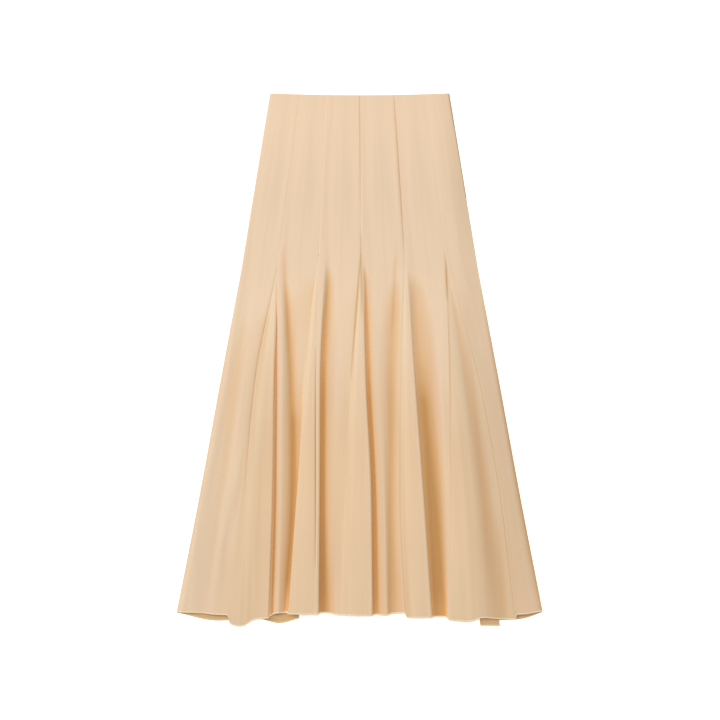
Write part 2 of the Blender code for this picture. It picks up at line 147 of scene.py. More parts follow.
# One row for each fold, seam and valley of the front, from -X to +X: the height of the godet tip it
# starts from, its place across the skirt at four heights, how high it stands at two, where the hem
# crosses it, and which way a sharp edge there leans (+1 to +X, -1 to -X, 0 for a soft fold).
FOLDS = table(
    Fold,
    ("side", 171, -225, -264, -304, -347.5, 2.5, 2.5, -478.5, 0),
    ("side_roll", 171, -216, -254, -293, -335, 6, 7, -479, 0),
    ("gore_1_dip", 171, -204, -236, -264, -299, 4.5, 5, -480.5, 0),
    ("gore_1_crest", 171, -186, -218, -247, -275, 7, 7.6, -483, 0),
    ("gore_1_slope", 171, -173, -209, -234.5, -252.5, 6.8, 7.2, -484, 0),
    ("gore_1_low", 171, -163, -202, -225, -245, 6, 6.6, -500.5, 0),
    ("seam_1_left", 171, -157, -198, -218, -231.5, 5.4, 6, -505, 0),
    ("godet_1_low", 171, -157, -194.5, -213, -220.5, 5.4, 5.8, -504.5, 0),
    ("godet_1_rise", 171, -157, -190, -207.5, -209.5, 6.4, 6.8, -497.5, 0),
    ("godet_1_crest", 171, -157, -182, -199, -197, 9.6, 10.2, -491, 0),
    ("godet_1_edge", 171, -157, -162, -165, -172, 11.5, 12.5, -489.5, 1),
    ("seam_1_right", 171, -157, -158.5, -160.5, -166.5, 4.2, 4, -484, 0),
    ("gore_2_step", 171, -154, -154.5, -155, -160.5, 8.8, 9.4, -481, 0),
    ("gore_2_band", 171, -148, -147.5, -148.5, -154.5, 10, 10.8, -480, 0),
    ("gore_2_valley", 187, -142, -129, -125, -140, 2.6, 2.6, -480, 0),
    ("gore_2_rise", 187, -133, -117, -119, -134, 6.6, 3, -480.5, 0),
    ("seam_2_left", 203, -78, -105.5, -113, -128, 8, 3.6, -481, 0),
    ("godet_2_edge", 203, -78, -102, -119.5, -136, 11.8, 13.5, -481.5, -1),
    ("godet_2_crest", 203, -78, -93, -100, -107, 13, 15, -482, 0),
    ("seam_2_right", 203, -78, -82.5, -82.5, -83.5, 12, 14, -482, 0),
    ("gore_3_edge", 203, -63.5, -74.5, -75.5, -77, 12.5, 14, -482, 1),
    ("gore_3_valley", 203, -56.5, -68.3, -70, -70.5, 2.6, 2.6, -480.5, 0),
    ("gore_3_rise", 203, -47.5, -58.3, -60.5, -52, 7, 7.2, -481.5, 0),
    ("gore_3_crest", 203, -36, -40, -45, -46, 9.5, 11, -482.5, 0),
    ("seam_3_left", 203, 2.5, -16.5, -28.5, -36.5, 10, 11.5, -483, 0),
    ("godet_3_crest", 203, 2.5, -4, -5, -6.5, 13, 15, -484, 0),
    ("seam_3_right", 203, 2.5, 7.5, 16.5, 18.5, 12.5, 14.5, -484.5, 0),
    ("gore_4_edge", 203, 6, 12, 22.5, 25, 12.5, 14.5, -484.5, 1),
    ("gore_4_slot", 203, 10, 17.5, 28, 31.5, 2.8, 2.8, -484, 0),
    ("gore_4_rise", 203, 15, 25, 34.5, 41, 8, 8.8, -484, 0),
    ("gore_4_crest", 203, 29, 36, 46, 51, 9.4, 10.5, -484, 0),
    ("gore_4_dip", 187, 70, 60, 60, 61, 4.6, 4.6, -482, 0),
    ("gore_4_edge_right", 187, 83, 75.5, 75, 86, 9.6, 10.6, -479.5, 1),
    ("seam_4_left", 187, 86.5, 78.5, 78, 88.5, 9.6, 9.8, -486.5, 0),
    ("godet_4_rise", 187, 86.5, 80.5, 81, 92, 9.8, 10, -489, 0),
    ("godet_4_crest", 187, 86.5, 92, 101, 112, 13, 15, -488, 0),
    ("seam_4_right", 187, 86.5, 101, 116, 131.5, 12.5, 14, -488, 0),
    ("gore_5_edge", 187, 90, 105.5, 122, 138, 12.5, 14, -488, 1),
    ("gore_5_valley", 187, 97, 119, 137, 150, 2.8, 2.6, -488, 0),
    ("gore_5_rise", 187, 114, 136, 150, 161, 5.4, 3, -488.5, 0),
    ("gore_5_crest", 187, 142, 159, 166.5, 167.5, 9.5, 11, -491, 0),
    ("seam_5_left", 187, 164, 171, 174, 170.5, 10, 12, -493, 0),
    ("godet_5_crest", 187, 164, 180, 196, 206, 9.5, 12, -495.5, 0),
    ("godet_5_slope", 187, 164, 193, 216.5, 235, 7.3, 8.7, -489, 0),
    ("godet_5_dip", 187, 164, 207, 238, 268.5, 4.8, 5, -492, 0),
    ("seam_5_right", 187, 164, 227, 267, 295.5, 7.5, 9.5, -491.5, 0),
    ("gore_6_step", 187, 166.5, 229.5, 270, 299, 7.6, 9.7, -483, 0),
    ("gore_6_crest", 187, 190, 240, 281, 316, 8, 10.5, -481.5, 0),
    ("side_roll", 171, 216, 256, 295, 336, 6, 7, -478.5, 0),
    ("side", 171, 225, 264.5, 304.5, 347.5, 2.5, 2.5, -477.5, 0),
)

# The panels of the front and of the back, from -X to +X, and the height of each front godet's tip.
PANELS = [f"{kind}_{number}" for number in range(1, 7) for kind in ("gore", "godet")][:-1]
LAST = len(PANELS) - 1
GODET_TIPS = (171.0, 203.0, 203.0, 187.0, 187.0)

# The back's seams at the hem, from side to side, and where the hem of each panel lies at its left, its
# middle and its right.
BACK_HEM_SEAMS = (-347.5, -190.0, -115.5, -72.0, -32.0, 14.0, 54.0, 100.0, 140.0, 227.0, 263.0, 347.5)
UNSEEN_HEM = (-476.0, -476.0, -476.0)
BACK_HEMS = (
    (-479.5, -494.8, -488.0), (-490.0, -499.5, -490.5), *[UNSEEN_HEM] * 7,
    (-504.5, -504.6, -504.8), (-494.0, -491.5, -478.5),
)
BACK_TIP_Y = 203.0
BACK_GODET_TOP = 171.0

Seam = namedtuple("Seam", "ridge_left ridge_right groove band_side band_waist band_tip band_height")

# The five yoke seams and the two sides, from -X to +X: how far the cloth swells beside each, how deep
# its line is drawn in, and the pressed seam allowance that shows through as a band: the side it lies
# on (-1, 0 or +1), its width at the waist and at the godet's tip, and its height.
YOKE_SEAMS = table(
    Seam,
    (0, 0, 0, 0, 0, 0, 0),
    (0.3, 0, 0.04, -1, 9, 7, 0.26),
    (0.1, 0.35, 0.12, 1, 13, 6, 0.34),
    (0.15, 0.25, 0.5, 1, 10, 6, 0.22),
    (0.2, 0.1, 0.55, -1, 9, 8, 0.26),
    (0.1, 0.22, 0.08, 1, 12, 6, 0.24),
    (0, 0, 0, 0, 0, 0, 0),
)
# They end this far above the hip and fade over this height.
YOKE_END = 25.0
YOKE_FADE = 50.0
# The same for every godet seam, whose allowances are pressed towards the gore.
GODET_SEAM_RIDGE = 0.16
GODET_SEAM_GROOVE = 0.14
GROOVE_WIDTH = 0.75
RIDGE_WIDTH = 3.2
BAND_EDGE = 1.3

Crease = namedtuple("Crease", "x_top y_top x_bottom y_bottom bow width depth")

# Soft creases of the front: where each starts and ends, how far it bows to +X, its
# half width, and its height (a trough is negative). They fade out this close to a seam.
FRONT_CREASES = table(
    Crease,
    (-146, 470, -168, 300, 2, 7, 0.35),
    (-129, 500, -142, 330, 1, 5, -0.3),
    (-152, 330, -176, 180, 1, 8, -0.35),
    (-96, 480, -112, 262, 1.5, 9, 0.3),
    (-84, 350, -100, 205, -1.5, 6, -0.32),
    (-44, 505, -48, 330, 1, 8, -0.24),
    (-30, 400, -36, 215, 1, 9, 0.28),
    (24, 495, 31, 300, -1, 8, 0.22),
    (41, 380, 44, 210, 1, 9, -0.26),
    (94, 500, 103, 340, -1, 7, 0.28),
    (111, 400, 121, 220, 1, 8, -0.28),
    (152, 500, 168, 345, -2, 5, -0.35),
    (171, 330, 190, 185, 1, 8, 0.3),
    (-223, 118, -288, -288, 4, 6, -0.75),
    (-227, -165, -262, -365, 2, 5, 0.8),
    (-218, -165, -247, -356, 2.5, 4, -0.7),
    (-262, 40, -306, -200, 0, 7, 0.45),
    (-256, -230, -275, -450, 3, 8, 0.5),
    (-196, -120, -212, -380, -2, 5, 0.45),
    (-184, -150, -196, -420, 1, 4.5, -0.4),
    (-117, 150, -113, -60, 1, 6, 0.45),
    (-92, 60, -92, -260, 2, 4.5, -0.4),
    (-100, -200, -112, -440, 0, 5, 0.4),
    (-34, 120, -38, -160, 1, 6, 0.4),
    (-48, -140, -50, -440, -1, 4.5, -0.35),
    (-12, -60, -22, -420, 1, 6, 0.4),
    (8, -120, 6, -440, 0, 5, -0.35),
    (48, 100, 49, -230, -1, 6, 0.4),
    (70, -40, 72, -400, 1, 5, 0.35),
    (98, -60, 112, -430, -1, 5.5, -0.4),
    (117, 120, 126, -20, 1, 6, 0.35),
    (154, 40, 163, -220, 1, 5, 0.4),
    (203, 20, 250, -330, 2, 9, -0.7),
    (212, -120, 236, -440, -2, 8, 0.5),
    (238, -240, 246, -470, 1, 6, -0.45),
    (262, -200, 286, -450, 0, 7, 0.45),
    (228, 120, 262, -90, 1, 7, 0.45),
    (286, -120, 318, -420, 1, 8, -0.5),
)
CREASE_ROOM = 4.0
# How bluntly creases, and the painted warm shade beside seams, end: the lower, the blunter.
CREASE_FADE = 0.7
SEAM_SHADE_FADE = 0.6
# The back's creases, of the same kind, on the side that nobody sees while the skirt lies on it.
BACK_CREASES = table(
    Crease,
    (-120, 460, -160, 210, 2, 9, 0.1),
    (-40, 480, -60, 180, -2, 10, 0.1),
    (60, 440, 84, 150, 2, 9, 0.1),
    (130, 470, 176, 200, 1, 10, 0.1),
    (-220, 80, -290, -420, 4, 10, 0.12),
    (-110, 60, -130, -400, -3, 9, 0.12),
    (0, 80, 10, -440, 3, 10, 0.12),
    (110, 60, 150, -400, -3, 9, 0.12),
    (230, 40, 290, -430, 3, 10, 0.12),
)

# Painted shade: soft bands of the same kind, where the front's colour is darkened and warmed, whose
# depth is the share of light that is taken out.
PAINTED_SHADE_BANDS = table(
    Crease,
    (212, 190, 304, -720, 4, 46, 0.09),
    (190, 140, 268, -640, 6, 22, 0.1),
    (-168, 90, -212, -680, -6, 26, 0.08),
    (-268, -80, -318, -760, 0, 34, 0.05),
    (163, 640, 222, 40, 0, 20, 0.085),
    (-70, -290, -70.5, -670, 0, 5.5, 0.1),
    (146, -230, 151, -730, 0, 6, 0.045),
)
# Where folds start at the godets' tips, and at some other places, painted warm shade is added over
# what their depth alone gives: lines of the same kind, whose depth is that painted shade.
TIP_SHADE = table(
    Crease,
    (-145.5, 222, -130, -70, 0, 5, 0.52),
    (-61, 216, -58, 110, 0, 4, 0.1),
    (69.5, 220, 61, 50, 0, 3, 0.4),
    (258, -290, 290, -640, 0, 10, 0.25),
    (-250, -330, -258, -640, 0, 14, 0.14),
)
# Where less painted shade is drawn than the depth would give, of the same kind: the share taken out.
PALER_PLACES = table(
    Crease,
    (98, 190, 122, -72, 0, 17, 0.34),
    (-186, 60, -226, -620, -4, 13, 0.8),
    (-106, 200, -116, -110, 0, 13, 0.6),
    (-150, -420, -150, -575, 0, 20, 0.22),
    (37, -190, 40, -700, 0, 7, 0.12),
)

SeamShadeLine = namedtuple("SeamShadeLine", "seam side y_top y_bottom width warmth")

# Painted warm shade close beside some seams, which are counted from -X: on the side to -X (-1),
# on the side to +X (+1) or on both (0).
SEAM_SHADE_LINES = table(
    SeamShadeLine,
    (1, -1, 185, -250, 2.6, 0.52),
    (2, 0, 90, -760, 3, 0.8),
    (4, -1, 30, -400, 3, 0.9),
    (5, -1, 560, 290, 1.6, 0.42),
    (6, 1, 560, 330, 1.4, 0.3),
    (5, 0, 246, -40, 2.2, 0.62),
    (6, 0, 246, 80, 2.2, 0.55),
    (7, -1, 500, 190, 3.4, 0.4),
    (8, 1, 520, 200, 1.4, 0.4),
    (9, 0, 206, 110, 2.4, 0.7),
    (9, -1, 140, -360, 1.5, 0.35),
    (9, 1, 160, -120, 2.4, 0.5),
    (10, -1, 130, -640, 1.5, 0.45),
    (11, -1, 110, -500, 4.5, 0.55),
)

# The light unevenness of loose cloth: for each layer of it the cells' size across and along the
# skirt, its share of the height, and its seed.
RIPPLES = ((37.0, 260.0, 0.7, 7), (17.0, 150.0, 0.3, 19))
# How many cells each layer has along and across, from which corner, and how far and how fast their
# columns swing from side to side.
RIPPLE_CELLS = (16, 64)
RIPPLE_CORNER = (-420.0, -600.0)
RIPPLE_SWING = (0.35, 2.1)

# A point is as deep as it lies below straight slopes that fall away from the folds beside it. Painted
# warm shade starts at one depth and is strongest at the other: here the two near the
# godets' tips and further down, and the heights between which they change.
TENT_SLOPE = 0.05
TIP_DEPTHS = (0.7, 4.6)
LOW_DEPTHS = (1.4, 9.6)
DEPTH_CHANGE = (170.0, -60.0)
# How closed in a point lies, as a share of the sky that is hidden: where a crevice begins and is
# full, the same for a hollow, a crevice's painted shade, and the distance that softens a slope close by.
CREVICE = (0.35, 0.85)
HOLLOW = (0.15, 0.75)
CREVICE_SHARE = 0.3
SLOPE_REACH = 0.6
# A sharp fold's steep side gets painted warm shade and painted light: how much shade, how much
# light is painted back, and between which shares of upright.
STEEP_SHADE = 0.7
STEEP_LIGHT = 0.8
STEEP_SHARES = (0.6, 0.9)
# Painted light: the share by which the colour of a hollow is brightened.
HOLLOW_LIGHT = 0.5
# Cloth that stands clear of the layers below it gets a little painted warm shade: from one height to
# the other, and from one place down the skirt to the other.
STANDING_SHADE = 0.18
STANDING_SHADE_HEIGHTS = (6.0, 11.0)
STANDING_SHADE_PLACES = (60.0, -190.0)
# How strongly doubled cloth shows beside a seam and at the hem, and over what distance; how much
# painted shade darkens a seam's side where it has painted warm shade; how much of the painted shade
# between folds is taken out towards their tips and where they open at the hem, and between which
# heights; how much painted warm shade the back has.
SEAM_TONE = 0.30
SEAM_TONE_WIDTH = 2.2
HEM_TONE = 1.0
HEM_TONE_FADE = 0.6
SEAM_SHADE = 0.18
TIP_CALM = 0.18
TIP_CALM_PLACES = (-80.0, 40.0)
HEM_CALM = 0.06
HEM_CALM_PLACES = (-435.0, -480.0)
BACK_SHADE = 0.15

# Thread spacing of the weave, in metres, and sizes across and along the cloth of the crepe's fine
# puckers, of its streaks, of its mottle and of its tint's patches.
WEAVE_SPACING = 0.00055
CREPE_CELL = (0.0022, 0.006)
STREAK_CELL = (0.011, 0.26)
MOTTLE_CELL = (0.09, 0.2)
TINT_CELL = (0.02, 0.4)
ROSY = (1.006, 0.990, 0.985)
YELLOWISH = (0.998, 1.008, 1.0)
WAVE_PERIOD = 2 * np.pi / 20
# Where each kind of panel starts in the noise.
NOISE_STARTS = {"gore": 0.0, "godet": 31.0, "back": 57.0}
# Where the two middle tones of the painted fold shade stand between open cloth and the deepest fold.
FAINT_SHADE_STOP = 0.5
DEEP_STOP = 0.86
# What doubled cloth leaves of the darkness of each colour channel.
DOUBLED = (0.78, 0.84, 0.93)
# Spacing of the sewing thread's turns and of the zip tape's ribs, in metres.
TWIST_SPACING = 0.0004
RIB_SPACING = 0.0009
# The background paper is lit from below as well, so that soft shadows on it stay pale.
PAPER_GLOW = 0.35

# How far the paper reaches, and how far it lies below the skirt.
FLOOR_HALF_SIZE = 30000.0
FLOOR_DROP = 0.4
# Each light's place and size, in metres, and the width of the camera's sensor, in millimetres.
WINDOW_LIGHT = ((-3.4, 1.4, 3.2), (1.8, 2.4))
TOP_LIGHT = ((-0.3, 1.2, 5.4), (3.6, 3.6))
SENSOR_WIDTH = 36.0


# ---------------- sizes and colours to change


def colour_property(name, description, code):
    """A colour from a picker's hex code, which is sRGB, kept as linear red, green and blue."""
    values = [int(code[place:place + 2], 16) / 255 for place in (1, 3, 5)]
    linear = tuple(v / 12.92 if v <= 0.04045 else ((v + 0.055) / 1.055) ** 2.4 for v in values)
    return FloatVectorProperty(
        name=name, description=description, subtype="COLOR", size=3, min=0.0, max=1.0, default=linear,
    )


def length_property(name, description, millimetres):
    return FloatProperty(
        name=name, description=description, unit="LENGTH", default=millimetres * MM, min=0.0, precision=5,
    )


class SkirtSizes(bpy.types.PropertyGroup):
    """Sizes of the cloth's finish."""

    cloth_thickness: length_property("Cloth", "Thickness of one layer of chiffon", 0.45)
    hem_width: length_property("Rolled hem", "Width of the rolled hem", 2.5)
    hem_rise: length_property("Hem rise", "How far the rolled hem stands above the cloth", 0.55)
    ripple: length_property("Ripple", "Height of the cloth's light unevenness", 0.14)
    crease_share: FloatProperty(
        name="Creases", description="Share of each crease's own height that is drawn", default=1.0, min=0.0,
    )
    stitch_pitch: length_property("Stitch pitch", "Distance from one stitch to the next", 2.6)
    stitch_length: length_property("Stitch length", "Length of one stitch", 1.9)
    thread: length_property("Thread", "Thickness of the sewing thread", 0.32)
    coil_pitch: length_property("Coil pitch", "Distance from one turn of the zip's coil to the next", 1.3)
    coil_width: length_property("Coil width", "Width of the zip's coil", 0.9)
    filament: length_property("Filament", "Thickness of the coil's filament", 0.35)


class SkirtColours(bpy.types.PropertyGroup):
    """Colours of the cloth and its painted shade, the zip and the floor."""

    chiffon: colour_property("Chiffon", "Gores of the front", "#D9BFA2")
    godet: colour_property("Godets", "Godets of the front", "#DBC1A2")
    # Painted shade: the back's inside is the chiffon's colour darkened, as it lies in the front's shadow.
    back: colour_property("Back", "Inside of the back panels", "#C39E70")
    # Painted shade: the chiffon's colour darkened and warmed for shallow, deep and deepest folds.
    faint_shade: colour_property("Shallow folds", "Light that has passed through one layer of cloth", "#D2AC82")
    deep: colour_property("Deep folds", "Light that has passed through a few layers", "#C2945F")
    warm: colour_property("Deepest folds", "Light that has passed through several layers", "#B38450")
    zip_tape: colour_property("Zip tape", "Woven tape of the zip", "#A38C5E")
    coil: colour_property("Zip coil", "Moulded coil of the zip", "#C9B48C")
    thread: colour_property("Thread", "Sewing thread", "#DCC2A0")
    floor: colour_property("Floor", "Paper that the skirt lies on", "#FBFBFA")


class SkirtStage(bpy.types.PropertyGroup):
    """Camera and light."""

    camera_height: length_property("Camera height", "Height of the lens above the skirt", 3800.0)
    lens: FloatProperty(name="Lens", description="Focal length, in millimetres", default=100.0, min=10.0)
    centre: FloatVectorProperty(
        name="Centre", description="Point that the camera looks down on", subtype="XYZ", size=2,
        unit="LENGTH", default=(0.00076, 0.00038),
    )
    key_power: FloatProperty(
        name="Key light", description="Power of the window light, in watts", default=80.0,
    )
    top_power: FloatProperty(
        name="Top light", description="Power of the overhead light, in watts", default=163.0,
    )
    fill: FloatProperty(name="Fill", description="Strength of the room's light", default=0.49, min=0.0)


# ---------------- the skirt's sections


def smooth_step(value, start=0.0, end=1.0):
    """Rises smoothly from 0 to 1 as the value goes from start to end."""
    part = np.clip((value - start) / (end - start), 0.0, 1.0)
    return part * part * (3.0 - 2.0 * part)


def tangents(places, values):
    """Slopes of a curve through the values that never swings past them; rows run along axis 0."""
    slopes = np.diff(values, axis=0) / np.diff(places).reshape(-1, *([1] * (values.ndim - 1)))
    before, after = slopes[:-1], slopes[1:]
    same_way = before * after > 0
    middle = np.where(same_way, 2.0 * before * after / np.where(same_way, before + after, 1.0), 0.0)
    return np.concatenate([slopes[:1], middle, slopes[-1:]])


def curve_through(places, values, at):
    """Values of the smooth curve through (places, values) at the places in `at`."""
    places = np.asarray(places, float)
    values = np.asarray(values, float)
    slopes = tangents(places, values)
    at = np.clip(np.asarray(at, float), places[0], places[-1])
    left = np.clip(np.searchsorted(places, at, side="right") - 1, 0, len(places) - 2)
    shape = (-1, *([1] * (values.ndim - 1)))
    width = places[left + 1] - places[left]
    part = ((at - places[left]) / width).reshape(shape)
    width = width.reshape(shape)
    start = values[left] * (1 + 2 * part) * (1 - part) ** 2 + slopes[left] * width * part * (1 - part) ** 2
    end = values[left + 1] * part**2 * (3 - 2 * part) + slopes[left + 1] * width * part**2 * (part - 1)
    return start + end


def waist_dip(x, stations):
    """How far the waist's curve draws each point down."""
    reach = np.clip((stations - WAIST_DIP_END) / (WAIST_Y - WAIST_DIP_END), 0.0, 1.0)
    return WAIST_DIP * (1 - (x / HALF_WAIST) ** 2) * reach


def fold_lines(stations):
    """Each fold's x, y and z at each station: an array of (stations, 3, folds)."""
    lines = []
    for fold in FOLDS:
        height = EDGE_HEIGHT if fold.name == "side" else FLAT_HEIGHT
        x_waist = np.interp(fold.x_hip, HIP_SEAMS, WAIST_SEAMS)
        straight = x_waist + (fold.x_hip - x_waist) * (WAIST_Y - stations) / (WAIST_Y - fold.tip_y)
        levels = (HEM_Y, CALF_Y, KNEE_Y, fold.tip_y)
        curved = curve_through(levels, (fold.x_hem, fold.x_calf, fold.x_knee, fold.x_hip), stations)
        x = np.where(stations > fold.tip_y, straight, curved)
        z_calf = fold.z_knee + (fold.z_hem - fold.z_knee) * HEM_SHARE_AT_CALF
        z_begun = height + (fold.z_knee - height) * TIP_SHARE
        heights = (fold.z_hem, z_calf, fold.z_knee, z_begun, height, height)
        levels = (HEM_Y, CALF_Y, KNEE_Y, fold.tip_y - TIP_REACH, fold.tip_y, WAIST_Y)
        z = curve_through(levels, heights, stations)
        y = stations + (fold.y_hem - HEM_Y) * smooth_step(stations, CALF_Y, HEM_Y) - waist_dip(x, stations)
        lines.append((x, y, z))
    return np.array(lines).transpose(2, 1, 0)


def sharp_edge(edge, low, lean, opened):
    """Three lines that round a sharp edge over: its top, its lip and its underside."""
    x, y, z = edge
    drop = np.maximum(z - low[2], 0.0)
    overhang = smooth_step(drop, LEAST_OVERHANG_DROP, 2 * LEAST_OVERHANG_DROP)
    reach = (EDGE_SPREAD + EDGE_ROUNDING * drop) * opened
    under_x = x + lean * (reach - (reach + EDGE_OVERHANG * drop) * overhang)
    top, lip = (x - lean * reach, y, z), (x, y, z - LIP_DROP * drop)
    under = (under_x, y, z - UNDERSIDE_DROP * drop)
    return (top, lip, under) if lean > 0 else (under, lip, top)


def front_lines(stations):
    """The lines that the front's sections run through, (stations, 3, lines), and each seam's index."""
    lines = fold_lines(stations)
    built = []
    seams = []
    for index, fold in enumerate(FOLDS):
        line = lines[:, :, index].T
        if fold.name == "side" or fold.name.startswith("seam"):
            seams.append(len(built))
        if fold.edge:
            low = lines[:, :, index + fold.edge].T
            opened = smooth_step((fold.tip_y - line[1]) / GODET_OPENING) if "godet" in fold.name else 1.0
            built.extend(sharp_edge(line, low, fold.edge, opened))
        else:
            built.append(tuple(line))
    return np.array(built).transpose(2, 1, 0), seams


def zip_inset(y):
    """How far the cloth stops short of the side line to leave room for the zip, most where it shows."""
    showing = smooth_step((y - (WAIST_Y - ZIP_SHOWS)) / ZIP_SHOWS_FADE)
    inset = ZIP_HIDDEN_INSET + (ZIP_INSET - ZIP_HIDDEN_INSET) * showing
    return np.where(y >= WAIST_Y - ZIP_LENGTH, inset, 0.0)


def row_stations(step):
    """Heights of the grid's rows, from the waist down, closer at the waist edge and the hem."""
    waist = WAIST_Y - np.array(WAIST_ROWS)
    hem = HEM_Y + np.array(HEM_ROWS)[::-1]
    count = int(round((waist[-1] - hem[0]) / step))
    return np.concatenate([waist, np.linspace(waist[-1], hem[0], count + 1)[1:-1], hem])


def row_places(lines, first, last):
    """Places between two seams at which points are set, (rows, columns), closer beside the seams."""
    gaps = np.linalg.norm(np.diff(lines[:, :, first:last + 1], axis=2), axis=1)
    counts = [max(1, int(np.ceil(gap / COLUMN_STEP))) for gap in gaps.max(axis=0)]
    places = [first]
    for index, count in enumerate(counts):
        gap = gaps[:, index]
        shrink = np.minimum(1.0, EDGE_COLUMN_ROOM * gap / count / EDGE_COLUMNS[-1]) / np.maximum(gap, 1e-6)
        if index == 0:
            places.extend(first + distance * shrink for distance in EDGE_COLUMNS)
        places.extend(first + index + part / count for part in range(1, count))
        if index == len(counts) - 1:
            places.extend(last - distance * shrink for distance in EDGE_COLUMNS[::-1])
        places.append(first + index + 1)
    return np.array([np.broadcast_to(place, len(lines)) for place in places], float).T


def section_points(lines, places):
    """Points of each row at its own places: (rows, places, 3)."""
    numbers = np.arange(lines.shape[2])
    return np.array([curve_through(numbers, section.T, row) for section, row in zip(lines, places)])


def unit(vectors):
    size = np.linalg.norm(vectors, axis=-1, keepdims=True)
    return np.where(size > 1e-9, vectors / np.maximum(size, 1e-9), (0.0, 0.0, 1.0))


def outward_normals(lines, places, points):
    """Directions out of the cloth, measured along the sections' own curves."""
    ahead = section_points(lines, places + NORMAL_STEP)
    behind = section_points(lines, places - NORMAL_STEP)
    return unit(np.cross(np.gradient(points, axis=0), ahead - behind))


def walked(points):
    """Distance along each row of a grid from its first column."""
    steps = np.linalg.norm(np.diff(points, axis=1), axis=2)
    return np.concatenate([np.zeros((len(points), 1)), np.cumsum(steps, axis=1)], axis=1)


# ---------------- what the needle and iron leave


def ripple(points):
    """The cloth's light unevenness: smooth random values between -1 and 1, long down the skirt."""
    height = np.zeros(points.shape[:2])
    for cell_across, cell_along, share, seed in RIPPLES:
        cells = np.random.default_rng(seed).uniform(-1.0, 1.0, RIPPLE_CELLS)
        along = (points[:, :, 1] - RIPPLE_CORNER[1]) / cell_along
        swing = RIPPLE_SWING[0] * np.sin(along * RIPPLE_SWING[1] + seed)
        across = (points[:, :, 0] - RIPPLE_CORNER[0]) / cell_across + swing
        column = np.clip(across.astype(int), 0, cells.shape[1] - 2)
        row = np.clip(along.astype(int), 0, cells.shape[0] - 2)
        u = smooth_step(across - column)
        v = smooth_step(along - row)
        low = cells[row, column] * (1 - u) + cells[row, column + 1] * u
        high = cells[row + 1, column] * (1 - u) + cells[row + 1, column + 1] * u
        height += share * (low * (1 - v) + high * v)
    return height


def crease_heights(points, creases):
    """Sum of all creases at each point: soft ridges and troughs that fade out at both ends."""
    x, y = points[:, :, 0], points[:, :, 1]
    height = np.zeros_like(x)
    for crease in creases:
        part = (crease.y_top - y) / (crease.y_top - crease.y_bottom)
        line = crease.x_top + (crease.x_bottom - crease.x_top) * part + crease.bow * 4 * part * (1 - part)
        fade = np.sin(np.pi * np.clip(part, 0.0, 1.0)) ** CREASE_FADE
        height += crease.depth * fade * np.exp(-(((x - line) / crease.width) ** 2))
    return height


def seam_heights(number, distance, y, side, godet):
    """The cloth's height beside seam `number` on its -X side (-1) or its +X side (+1): its line drawn
    in, a soft swell, and the allowance under it."""
    seam = YOKE_SEAMS[number]
    tip = HIP_Y + YOKE_END
    above = smooth_step((y - tip) / YOKE_FADE)
    ridge = (seam.ridge_left if side < 0 else seam.ridge_right) * above + GODET_SEAM_RIDGE * (1 - above)
    groove = seam.groove * above + GODET_SEAM_GROOVE * (1 - above) * (seam.groove > 0)
    if godet:
        ridge, groove = 0.5 * GODET_SEAM_RIDGE, GODET_SEAM_GROOVE
    height = ridge * (distance / RIDGE_WIDTH) * np.exp(1 - distance / RIDGE_WIDTH)
    height = height - groove * np.exp(-((distance / GROOVE_WIDTH) ** 2))
    if godet or seam.band_side != side:
        return height
    part = np.clip((WAIST_Y - y) / (WAIST_Y - tip), 0.0, 1.0)
    band = seam.band_waist + (seam.band_tip - seam.band_waist) * part
    return height + seam.band_height * above * smooth_step((band - distance) / BAND_EDGE + 0.5)


def rim_drop(distance, radius, drop):
    """How far an edge turns down within `radius` of the end of the cloth."""
    near = np.clip(1.0 - distance / radius, 0.0, 1.0)
    return drop * (1.0 - np.sqrt(1.0 - near**2))


def hem_roll(distance, width, rise):
    """The rolled hem: a half round bead, with the stitches' line drawn in above it."""
    middle = width / 2
    bead = rise * np.sqrt(np.clip(1.0 - ((distance - middle) / middle) ** 2, 0.0, 1.0))
    depth, gap, half = HEM_LINE
    return bead - depth * rise * np.exp(-(((distance - width - gap) / half) ** 2))


def rolled_share(distance, sizes):
    """How far a row belongs to the rolled hem, from 0 to 1."""
    return smooth_step((sizes.hem_width / MM + HEM_TONE_FADE - distance) / HEM_TONE_FADE)


def stitch_line(top):
    """Where a panel's hem is stitched."""
    return top[-1 - HEM_STITCH_ROW] + [0.0, 0.0, STITCH_LIFT]


# Painted shade and light: folds, crevices and steep sides are darkened and warmed in the colour, and
# hollows are brightened.
def folded_in(section):
    """Painted warm shade for each point of a section from the cloth around it, and how hollow it lies in
    it, which sets its painted light.
    """
    x, y, z = section.T
    run = np.abs(x[None, :] - x[:, None])
    depth = (z[None, :] - TENT_SLOPE * run).max(axis=1) - z
    change = smooth_step(y, *DEPTH_CHANGE)
    least, full = [tip + (low - tip) * change for tip, low in zip(TIP_DEPTHS, LOW_DEPTHS)]
    valley = np.clip((depth - least) / (full - least), 0.0, 1.0)
    slope = np.maximum(z[None, :] - z[:, None], 0.0) / (run + SLOPE_REACH)
    left, right = np.tril(slope, -1).max(axis=1), np.triu(slope, 1).max(axis=1)
    closed = (np.arctan(left) + np.arctan(right)) / np.pi
    crevice = CREVICE_SHARE * smooth_step(closed, *CREVICE)
    faint_shade = STANDING_SHADE * smooth_step(z, *STANDING_SHADE_HEIGHTS) * smooth_step(y, *STANDING_SHADE_PLACES)
    across, up = np.gradient(x), np.gradient(z)
    steep = smooth_step(np.abs(up) / (np.hypot(across, up) + 1e-6), *STEEP_SHARES)
    warmth = 1.0 - (1.0 - valley) * (1.0 - crevice) * (1.0 - faint_shade) * (1.0 - STEEP_SHADE * steep)
    # The second value sets how much painted light brightens the colour.
    return np.stack([warmth, np.maximum(smooth_step(closed, *HOLLOW), STEEP_LIGHT * steep)], axis=1)


# ---------------- meshes


